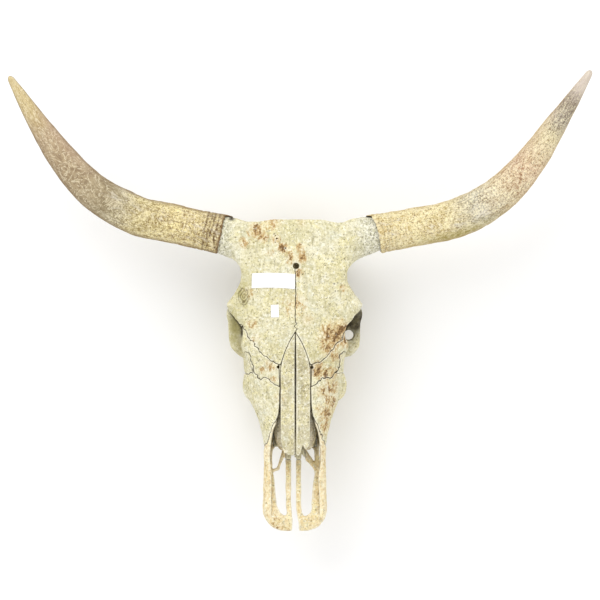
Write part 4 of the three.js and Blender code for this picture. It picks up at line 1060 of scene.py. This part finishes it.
def horn_material(horn):
    """Weathered keratin; its colours change from the horn's base to its tip."""
    n = Nodes(f"keratin_{horn.side}")
    left = horn.sign < 0
    place = n.attribute("horn_place", "Vector")
    along = n.attribute("along")
    fibre = n.noise(n.scaled(place, (1, 1, 0.07)), 420, 5, 0.65, 0.4)
    patch = n.noise(n.scaled(place, (1, 1, 0.5)), 48, 6, 0.68, 0.6)
    mottle = n.noise(n.scaled(place, (1, 1, 0.7)), 210, 5, 0.75, 0.5)
    speckle = n.noise(place, 380, 3, 0.65)
    zone = n.math("ADD", along, n.times(n.math("SUBTRACT", patch, 0.5), 0.16))
    light = n.colours(zone, LEFT_LIGHT if left else RIGHT_LIGHT)
    dark = n.colours(zone, LEFT_DARK if left else RIGHT_DARK)
    if left:
        coarse = n.math("MAXIMUM", n.ramp(along, 0.47, 0.38), n.ramp(along, 0.8, 0.9, 0.0, 0.6))
    else:
        coarse = n.ramp(along, 0.95, 0.85)
    strength = n.math("ADD", n.times(coarse, 0.2), 0.8)
    share = n.math("ADD", n.times(n.ramp(mottle, 0.4, 0.62), 0.65),
                   n.times(n.ramp(patch, 0.36, 0.64), 0.35))
    base = n.mix(n.times(share, strength), light, dark)
    n.base = n.mix(n.times(n.ramp(fibre, 0.52, 0.72), 0.45), base, dark)
    n.paint((248, 238, 204), n.ramp(fibre, 0.46, 0.33), coarse, 0.5)
    n.paint((104, 76, 38), n.ramp(speckle, 0.54, 0.64), coarse, 0.8)
    n.paint((254, 244, 198), n.ramp(speckle, 0.46, 0.36), coarse, 0.8)
    swirl = n.math("ABSOLUTE", n.math("SUBTRACT", n.noise(place, 34, 4, 0.6, 2.4), 0.5))
    n.paint((240, 228, 196), n.ramp(swirl, 0.03, 0.006), 0.6)
    n.paint((152, 136, 60), n.attribute("moss"), n.ramp(mottle, 0.4, 0.6, 0.45, 1.0))
    n.paint((226, 220, 204), n.ramp(patch, 0.58, 0.7), 0.45 if left else 0.65)
    n.paint((190, 158, 136), n.ramp(zone, 0.5, 0.66), n.ramp(zone, 0.9, 0.8),
            n.attribute("pollward"), 0.3 if left else 0.25)
    # painted shade along the horn's sides as seen from above, strong on the left
    if left:
        n.paint((120, 92, 50), n.attribute("painted_edge_shade"), 0.6)
    else:
        n.paint((176, 148, 92), n.attribute("painted_edge_shade"), 0.35)
    n.paint((96, 68, 36), n.ramp(n.attribute("pit"), 0.04, 0.22), 0.55)
    n.paint((120, 90, 50), n.ramp(n.attribute("hollow"), 0.1, 0.9), 0.35)
    if left:
        n.paint((112, 76, 40), n.ramp(zone, 0.075, 0.03), n.ramp(patch, 0.42, 0.58), 0.7)
    n.paint((84, 56, 28), n.attribute("crease"), n.ramp(patch, 0.35, 0.55, 0.4, 1.0),
            0.85 if left else 0.35)
    # painted shade: the inside of the sheath, seen in the gap at its rim, painted dark brown
    n.paint((70, 50, 30), n.attribute("inside"))
    height = n.math("ADD", fibre, n.times(mottle, 0.7))
    n.shader.inputs["Specular IOR Level"].default_value = 0.35
    return n.finish(n.base, n.ramp(patch, 0.3, 0.7, 0.55, 0.85), n.bump(height, 0.0013, 0.8))


# ------------------------------------------------------------------ bones

def boxed(sign, low, high):
    """A box given for the right side, or its mirror image on the left."""
    xs = sorted((sign * low[0], sign * high[0]))
    return (xs[0], *low[1:]), (xs[1], *high[1:])


def build_bones():
    bone = bone_material("weathered_bone", (238, 232, 202), (220, 212, 170), (178, 170, 126))
    grey = bone_material("nasal_bone", (224, 216, 184), (200, 190, 152), (150, 138, 104))
    warm = bone_material("muzzle_bone", (250, 236, 198), (236, 214, 160), (204, 174, 120), 0.2)
    under = bone_material("shaded_bone", (226, 214, 176), (198, 184, 140), (150, 132, 92))
    forehead = bone_piece("frontal_bone", "frontal", (-118, 268, 105), (118, 530, 200),
                          frontal_region, bone, 1.3, trim=forehead_end)
    bone_piece("occipital_bone", "occiput", (-86, 442, -4), (86, 530, 154), occiput_region, under)
    bone_piece("skull_base_bone", "skull_base", (-82, 344, 20), (82, 454, 154),
               skull_base_region, under)
    paired = [
        ("nasal", (-3, 118, 140), (30, 337, 194), nasal_region, grey, 1.5),
        ("lacrimal", (18, 232, 112), (118, 348, 190), lacrimal_region, bone, 1.0),
        ("zygomatic", (60, 254, 58), (122, 410, 156), zygomatic_region, bone, 1.0),
        ("maxilla", (-4, 112, 2), (100, 356, 192), maxilla_region, bone, 1.0),
        ("premaxilla", (-8, -8, 70), (64, 196, 172), premaxilla_region, warm, 1.0),
        ("temporal", (24, 388, 18), (116, 512, 154), temporal_region, under, 1.0),
    ]
    for sign, side in SIDES:
        for name, low, high, region, material, roughness in paired:
            bone_piece(f"{name}_bone_{side}", f"{name}_{side}", *boxed(sign, low, high),
                       partial(region, sign), material, roughness)
    for horn in HORNS:
        reach = CORE_START + horn.bare + SHEATH_HOLLOW + 4
        box = boxed(horn.sign, (CORE_START - 6, 452, 112), (reach, 538, 190))
        bone_piece(f"horn_core_{horn.side}_bone", f"horn_core_{horn.side}", *box, everything,
                   bone, 1.3, trim=core_end, slot="core_bone")
    return forehead


# Forehead and core are one grown surface in the animal: each runs on a little way under
# the other, sinking as it goes, so that no step shows where they part.

def forehead_end(values, x, y):
    side = np.abs(x)
    behind = ease(y, 440, 446)
    end = np.where(y > 440, side - CORE_START - 3, -50)
    return np.maximum(values + 0.35 * ease(side, CORE_START - 2, CORE_START + 3) * behind, end)


def core_end(values, x, y):
    side = np.abs(x)
    sunk = values + 0.35 * ease(CORE_START + 2 - side, 0, 5)
    return np.maximum(sunk, CORE_START - 3 - side)


# A core has no suture of its own: core_end parts it from the forehead.
def everything(x, y, z):
    return np.full(np.broadcast(x, y, z).shape, -60.0, dtype=np.float32)


# ------------------------------------------------------------------ cheek teeth

TEETH = ((16, 16), (18, 19), (18, 21), (26, 23), (28, 24), (29, 23))  # length, width
TOOTH_ROW_START = 202
TOOTH_SPACING = 0.6


def tooth_outline(x, y, length, width, sign):
    """A cheek tooth in plan, with upright ribs on its outer side."""
    ribs = 3 if length > 20 else 2
    points = []
    for i in range(2 * ribs + 1):
        rib = -1.4 if i % 2 else 0
        edge = -1.6 if i in (0, 2 * ribs) else 0
        reach = width / 2 + rib + edge
        points.append((x + sign * reach, y - length / 2 + length * i / (2 * ribs)))
    for share, place in ((0.3, 0.5), (0.5, 0.25), (0.5, -0.25), (0.3, -0.5)):
        points.append((x - sign * width * share, y + length * place))
    return points


def wear_level(y):
    return np.maximum((MOLAR_HEEL - y) * WEAR_SLOPE, 0)


def build_teeth():
    enamel = enamel_material()
    for sign, side in SIDES:
        grid = Grid(*boxed(sign, (26, 198, -3), (76, 346, 82)), 0.9)
        x, y, z = grid.points()
        middle = TOOTH_ROW_START
        teeth = np.full(grid.values.shape, 50.0, dtype=np.float32)
        for length, width in TEETH:
            centre = middle + length / 2
            place = sign * (float(JAW_HALF(centre)) - 13)
            root = float(margin_level(np.float64(centre))) + 7
            plan = polygon(tooth_outline(place, centre, length, width, sign), x, y) + 0.5
            ridge = 0.35 * np.sin(y * 2.1) * ease(z, 2, 12)
            pulp = crescents(x - place, y - centre, length, width)
            hollow = np.maximum(pulp, z - wear_level(y) - 1.6)
            tooth = smooth_max(plan + ridge, z - root, 3)
            teeth = np.minimum(teeth, smooth_max(tooth, -hollow, 1))
            middle += length + TOOTH_SPACING
        grid.values = smooth_max(teeth, wear_level(y) - z, 0.6)
        vertices, quads = surface_net(grid)
        vertices[:, 2] = np.maximum(vertices[:, 2], 0)
        add_piece(f"cheek_teeth_{side}", f"maxilla_{side}", vertices, quads,
                  wear(vertices, quads, 8), enamel)


def crescents(dx, dy, length, width):
    """The crescent hollows in a worn tooth's face, in plan; negative inside."""
    lobes = (-length / 4, length / 4) if length > 20 else (0,)
    radius = width * 0.2
    rings = [np.abs(np.hypot(dx, (dy - lobe) * 0.8) - radius) - 0.9 for lobe in lobes]
    return np.minimum(rings[0], rings[-1])


# ------------------------------------------------------------------ inside the nose

def soft_piece(name, node, grid, material, roughness):
    vertices, quads = surface_net(grid)
    relief = bone_relief(vertices, roughness) * 0.6
    vertices = vertices + vertex_normals(vertices, quads) * relief[:, None]
    attributes = {**wear(vertices, quads, 8), "porous": np.full(len(vertices), 0.5)}
    add_piece(name, node, vertices, quads, attributes, material)


def build_nose():
    material = bone_material("spongy_bone", (240, 220, 186), (208, 184, 142), (140, 112, 72))
    dark = bone_material("shaded_sponge", (120, 98, 66), (84, 66, 42), (50, 38, 24))
    step = 1.0
    for sign, side in SIDES:
        grid = Grid(*boxed(sign, (1, 128, 84), (40, 234, 152)), step)
        x, y, z = grid.points()
        scroll = ellipsoid((sign * 21, 180, 121), (16, 46, 27))[0](x, y, z)
        groove = bar((sign * 35, 130, 118), (sign * 35, 215, 118), 6, 6)[0](x, y, z)
        cells = 1.9 * noise(x, y * 0.5, z, 5.2, 1.7) + 1.3 * noise(x, y * 0.8, z, 3.1, 6.1)
        shell = smooth_max(scroll, -groove, 4) + np.maximum(cells, -0.4)
        floor = palate_level(y) + PALATE_THICKNESS + 1.5 - z
        wall = np.abs(x) - INNER_WALL(y) + 0.4
        grid.values[:] = largest(shell, floor, wall, 3 - np.abs(x), y - CAVITY_END + 1)
        soft_piece(f"turbinate_{side}_bone", f"turbinate_{side}", grid, material, 1.6)
    grid = Grid((-4, 118, 68), (4, 214, 146), step * 0.6)
    x, y, z = grid.points()
    end = CAVITY_END - 2
    outline = [(122, 101.5), (end, 75.5), (end, 140), (160, 124)]
    blade = largest(polygon(outline, y, z), np.abs(x - 0.3 * noise(y, z, y * 0, 30)) - 1.4)
    grid.values[:] = blade + 0.3 * noise(x, y, z, 6)
    soft_piece("vomer_bone", "vomer", grid, dark, 0.6)


# ------------------------------------------------------------------ horn sheaths

def sheath_relief(horn, along, angle):
    """How far the sheath's surface stands out or in, in millimetres."""
    a = HORN_RADIUS * np.cos(angle)
    b = HORN_RADIUS * np.sin(angle)
    shift = 13.0 if horn.sign > 0 else 0.0
    start = along - 12 - horn.bare
    fibre = 0.35 * noise(a, b, along * 0.08, 2.6, shift)
    fibre = fibre + 0.25 * noise(a, b, along * 0.05, 5.0, shift)
    dents = 0.8 * noise(a * 0.6, b * 0.6, along, 34, shift) + 0.4 * noise(a, b, along, 13, shift)
    bent = start + 2.4 * noise(a * 0.5, b * 0.5, along * 0.4, 14, shift)
    rings = 0.5 * noise(bent * 0, bent, bent * 0, 4.4, shift) * np.exp(-np.maximum(start, 0) / 110)
    wide = 0.5 * noise(bent * 0, bent, bent * 0, 13, shift + 2)
    rings = rings + wide * np.exp(-np.maximum(start, 0) / 200)
    groove = np.exp(-((bent - 10) / 1.6) ** 2) + 0.8 * np.exp(-((bent - 22) / 2.0) ** 2)
    rings = rings - (0.9 if horn.sign < 0 else 0.4) * groove
    scales = -0.7 * np.maximum(noise(a, b, along * 0.45, 5.5, shift + 4) - 0.35, 0)
    flakes = 0.5 * ease(noise(a * 0.5, b * 0.5, along * 0.3, 12, shift + 9), 0.1, 0.16)
    share = along / horn.length
    worn = ease(share, 0.4, 0.55) if horn.sign < 0 else 0.55 * ease(share, 0.85, 0.95)
    lively = (fibre + scales + flakes) * (1 - 0.72 * worn)
    taper = HORN_WIDTH(share)
    return (lively + rings) * np.minimum(taper + 0.25, 1) + dents * taper


# Dark creases round a sheath: distance from its rim, half width and strength.
CREASES = [(0, 1.2, 1.0), (7, 1.6, 1.0), (12, 1.0, 0.8), (19, 1.8, 0.75), (33, 1.2, 0.4)]


def creases_at(horn, along, across):
    """Dark lines round the sheath near its rim, fading out along the horn."""
    start = along - horn.bare - rim_slant(horn, across) - 7
    bent = start + 2.6 * noise(across * 22, along * 0.2, along * 0, 11)
    total = np.zeros(len(along))
    for place, width, strength in CREASES:
        shown = ease(noise(across * 30, along * 0, along * 0 + place, 9, place), -0.75, -0.1)
        total = np.maximum(total, shown * strength * np.exp(-((bent - place) / width) ** 2))
    return total


def rim_slant(horn, across):
    """How far the rim leans and bows along the horn, from one side to the other."""
    if horn.sign < 0:
        return 0 * across
    return -3.2 * across - 4.8 * across ** 2


def rounding(share):
    """The height of a quarter circle, from 0 at its edge to 1."""
    return math.sqrt(max(1 - (1 - min(share, 1)) ** 2, 0))


def build_sheath(horn, material):
    count, sides = ((540, 152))
    angle = np.linspace(0, 2 * np.pi, sides, endpoint=False)
    begin = horn.bare
    outer = begin + (horn.length - begin) * (1 - (1 - np.linspace(0, 1, count)) ** 1.25)
    inner = begin + SHEATH_HOLLOW * np.linspace(1, 0, 34)
    circle = (40 * np.cos(angle), 40 * np.sin(angle), angle * 0)
    bends = 1.8 * noise(*circle, 17, horn.sign)
    nicks = 1.1 * noise(*circle, 5.5, horn.sign)
    front = -horn.sign * np.cos(angle)
    shelf = 14.0 if horn.sign < 0 else 8.0
    shelf = shelf * ease(-front, 0.6, 0.98) * ease(-np.sin(angle), -0.4, 0.1)
    rim = rim_slant(horn, np.cos(angle)) - 1.5 + bends + nicks - shelf
    wide, narrow = SHEATH_BORE
    rows = [(np.full(sides, inner[0] + 1.0), np.zeros(sides))]
    for along in inner:
        deep = along - begin
        gap = 0.7 + 0.6 * np.exp(-deep / 6)
        gap = gap + 1.6 * ease(-front, 0.6, 1) * np.exp(-deep / 9)
        place = along + rim * np.exp(-deep / RIM_FADE)
        bore = wide + (narrow - wide) * deep / SHEATH_HOLLOW
        rows.append((place, np.full(sides, bore + gap)))
    for along in outer:
        lip = rounding((along - begin) / LIP)
        place = np.minimum(along + rim * math.exp(-(along - begin) / RIM_FADE), horn.length)
        width = HORN_RADIUS * HORN_WIDTH(place / horn.length)
        relief = sheath_relief(horn, place, angle) * lip
        tip = rounding((horn.length - along) / TIP_ROUNDING)
        rows.append((place, (width - 1.3 * (1 - lip) + relief) * tip))
    fields = []
    vertices = []
    for place, radius in rows:
        centre, across, up = horn.at(place)
        vertices.append(centre + across * (radius * np.cos(angle))[:, None]
                        + up * (radius * HORN_FLATNESS * np.sin(angle))[:, None])
        fields.append(np.stack([HORN_RADIUS * np.cos(angle), HORN_RADIUS * np.sin(angle), place],
                               axis=1))
    vertices = np.vstack(vertices)
    fields = np.vstack(fields)
    ring = np.arange(sides)
    after = (ring + 1) % sides
    rings = np.arange(len(rows) - 1)[:, None] * sides
    quads = np.stack([rings + ring, rings + sides + ring, rings + sides + after, rings + after],
                     axis=-1).reshape(-1, 4)
    if horn.sign > 0:
        quads = quads[:, ::-1]
    towards = np.tile(front, len(rows))  # 1 on the horn's muzzle side, -1 on its poll side
    moss = np.exp(-((fields[:, 2] - 165) / 60) ** 2)
    moss = moss * (ease(towards, 0.35, 0.95) if horn.sign > 0 else 0.25)
    # painted shade: the rows inside the sheath's bore get the dark paint
    hidden = np.zeros(len(vertices))
    hidden[:(len(inner) + 1) * sides] = 1
    attributes = {
        "horn_place": fields * MILLIMETRE,
        "along": fields[:, 2] / horn.length,
        "inside": hidden,
        "moss": moss,
        "pollward": ease(-towards, 0.1, 0.9),
        # painted shade along the horn's sides as seen from above
        "painted_edge_shade": ease(np.abs(towards), 0.82, 0.99),
        "crease": creases_at(horn, fields[:, 2], fields[:, 0] / HORN_RADIUS),
        **wear(vertices, quads, 10),
    }
    add_piece(f"horn_sheath_{horn.side}_keratin", f"horn_sheath_{horn.side}", vertices,
              quads, attributes, material)


# ------------------------------------------------------------------ paper labels

# Name, centre in plan, width, height and turn.
LABELS = [("label_large", (-36.5, 417), 72, 25, -0.02), ("label_small", (-34, 366), 13.5, 21, 0.03)]


PAPER_LIFT = 0.45  # how far a label stands off the bone
PAPER_THICKNESS = 0.3
SMOOTHINGS = 6  # rounds that lay a label flat over pits in the bone


def build_labels(forehead):
    paper = paper_material()
    for name, centre, width, height, turn in LABELS:
        columns, rows = (40, 16) if width > 40 else (14, 20)
        u, v = np.meshgrid(np.linspace(-0.5, 0.5, columns), np.linspace(-0.5, 0.5, rows))
        x = centre[0] + u * width * math.cos(turn) - v * height * math.sin(turn)
        y = centre[1] + u * width * math.sin(turn) + v * height * math.cos(turn)
        y = y - (1.6 * (u * 2) ** 2 if width > 40 else 0)
        ground = np.zeros(x.shape)
        for index in np.ndindex(x.shape):
            start = ((x[index] - ORIGIN[0]) * MILLIMETRE, (y[index] - ORIGIN[1]) * MILLIMETRE, 0.4)
            hit, place, _, _ = forehead.ray_cast(start, (0, 0, -1))
            ground[index] = place[2] / MILLIMETRE if hit else FOREHEAD
        for _ in range(SMOOTHINGS):
            padded = np.pad(ground, 1, mode="edge")
            mean = (padded[:-2, 1:-1] + padded[2:, 1:-1] + padded[1:-1, :-2] + padded[1:-1, 2:]) / 4
            ground = np.maximum(ground, mean)
        curl = 0.9 * np.maximum(np.abs(u) * 2 - 0.86, 0) * 4 + 0.4 * np.maximum(-v * 2 - 0.7, 0) * 2
        upper = np.stack([x, y, ground + PAPER_LIFT + curl], axis=-1).reshape(-1, 3)
        lower = upper - (0, 0, PAPER_THICKNESS)
        grid = np.arange(rows * columns).reshape(rows, columns)
        front = np.stack([grid[:-1, :-1], grid[:-1, 1:], grid[1:, 1:], grid[1:, :-1]],
                         axis=-1).reshape(-1, 4)
        loop = np.concatenate([grid[0, :-1], grid[:-1, -1], grid[-1, :0:-1], grid[:0:-1, 0]])
        after = np.roll(loop, -1)
        count = rows * columns
        edge = np.stack([loop, loop + count, after + count, after], axis=1)
        faces = np.concatenate([front, front[:, ::-1] + count, edge])
        add_piece(f"{name}_paper", name, np.vstack([upper, lower]), faces, {},
                  paper)


# ------------------------------------------------------------------ stage

SKY_STRENGTH = 0.92
FLOOR_REACH = 6.0
# Name, place, size and watts of each square lamp.
LAMPS = [("key", (-1.1, 1.7, 2.4), 2.2, 34), ("fill", (1.6, -0.6, 2.4), 2.4, 10)]


def add_stage():
    n = Nodes("floor_pale")
    tone = n.noise(n.place(), 1.5, 2)
    material = n.finish(n.mix(tone, (0.93, 0.93, 0.93), (0.95, 0.95, 0.95)), 0.9)
    mesh = bpy.data.meshes.new("floor")
    corners = [(x * FLOOR_REACH, y * FLOOR_REACH, 0)
               for x, y in ((-1, -1), (1, -1), (1, 1), (-1, 1))]
    mesh.from_pydata(corners, [], [(0, 1, 2, 3)])
    mesh.materials.append(material)
    ground = bpy.data.objects.new("floor", mesh)
    bpy.context.collection.objects.link(ground)
    world = bpy.context.scene.world or bpy.data.worlds.new("studio")
    bpy.context.scene.world = world
    world.use_nodes = True
    background = world.node_tree.nodes["Background"]
    background.inputs["Color"].default_value = (1, 1, 1, 1)
    background.inputs["Strength"].default_value = SKY_STRENGTH
    for name, place, size, power in LAMPS:
        light = bpy.data.lights.new(name, "AREA")
        light.shape = "SQUARE"
        light.size = size
        light.energy = power
        lamp = bpy.data.objects.new(name, light)
        lamp.location = place
        lamp.rotation_euler = (-Vector(place)).to_track_quat("-Z", "Y").to_euler()
        bpy.context.collection.objects.link(lamp)
    bpy.context.scene.view_settings.view_transform = "Standard"


def add_camera():
    """Straight above the forehead, with the muzzle towards the bottom of the picture."""
    width_seen = 0.996  # what the picture's width spans at the forehead's height
    distance = 20.0
    camera = bpy.data.cameras.new("camera")
    camera.sensor_width = 36
    camera.lens = camera.sensor_width * distance / width_seen
    view = bpy.data.objects.new("camera", camera)
    view.location = (-0.0001, 0.0009, FOREHEAD * MILLIMETRE + distance)
    bpy.context.collection.objects.link(view)
    bpy.context.scene.camera = view


forehead_bone = build_bones()
build_labels(forehead_bone)
build_teeth()
build_nose()
for one_horn in HORNS:
    build_sheath(one_horn, horn_material(one_horn))
add_stage()
add_camera()
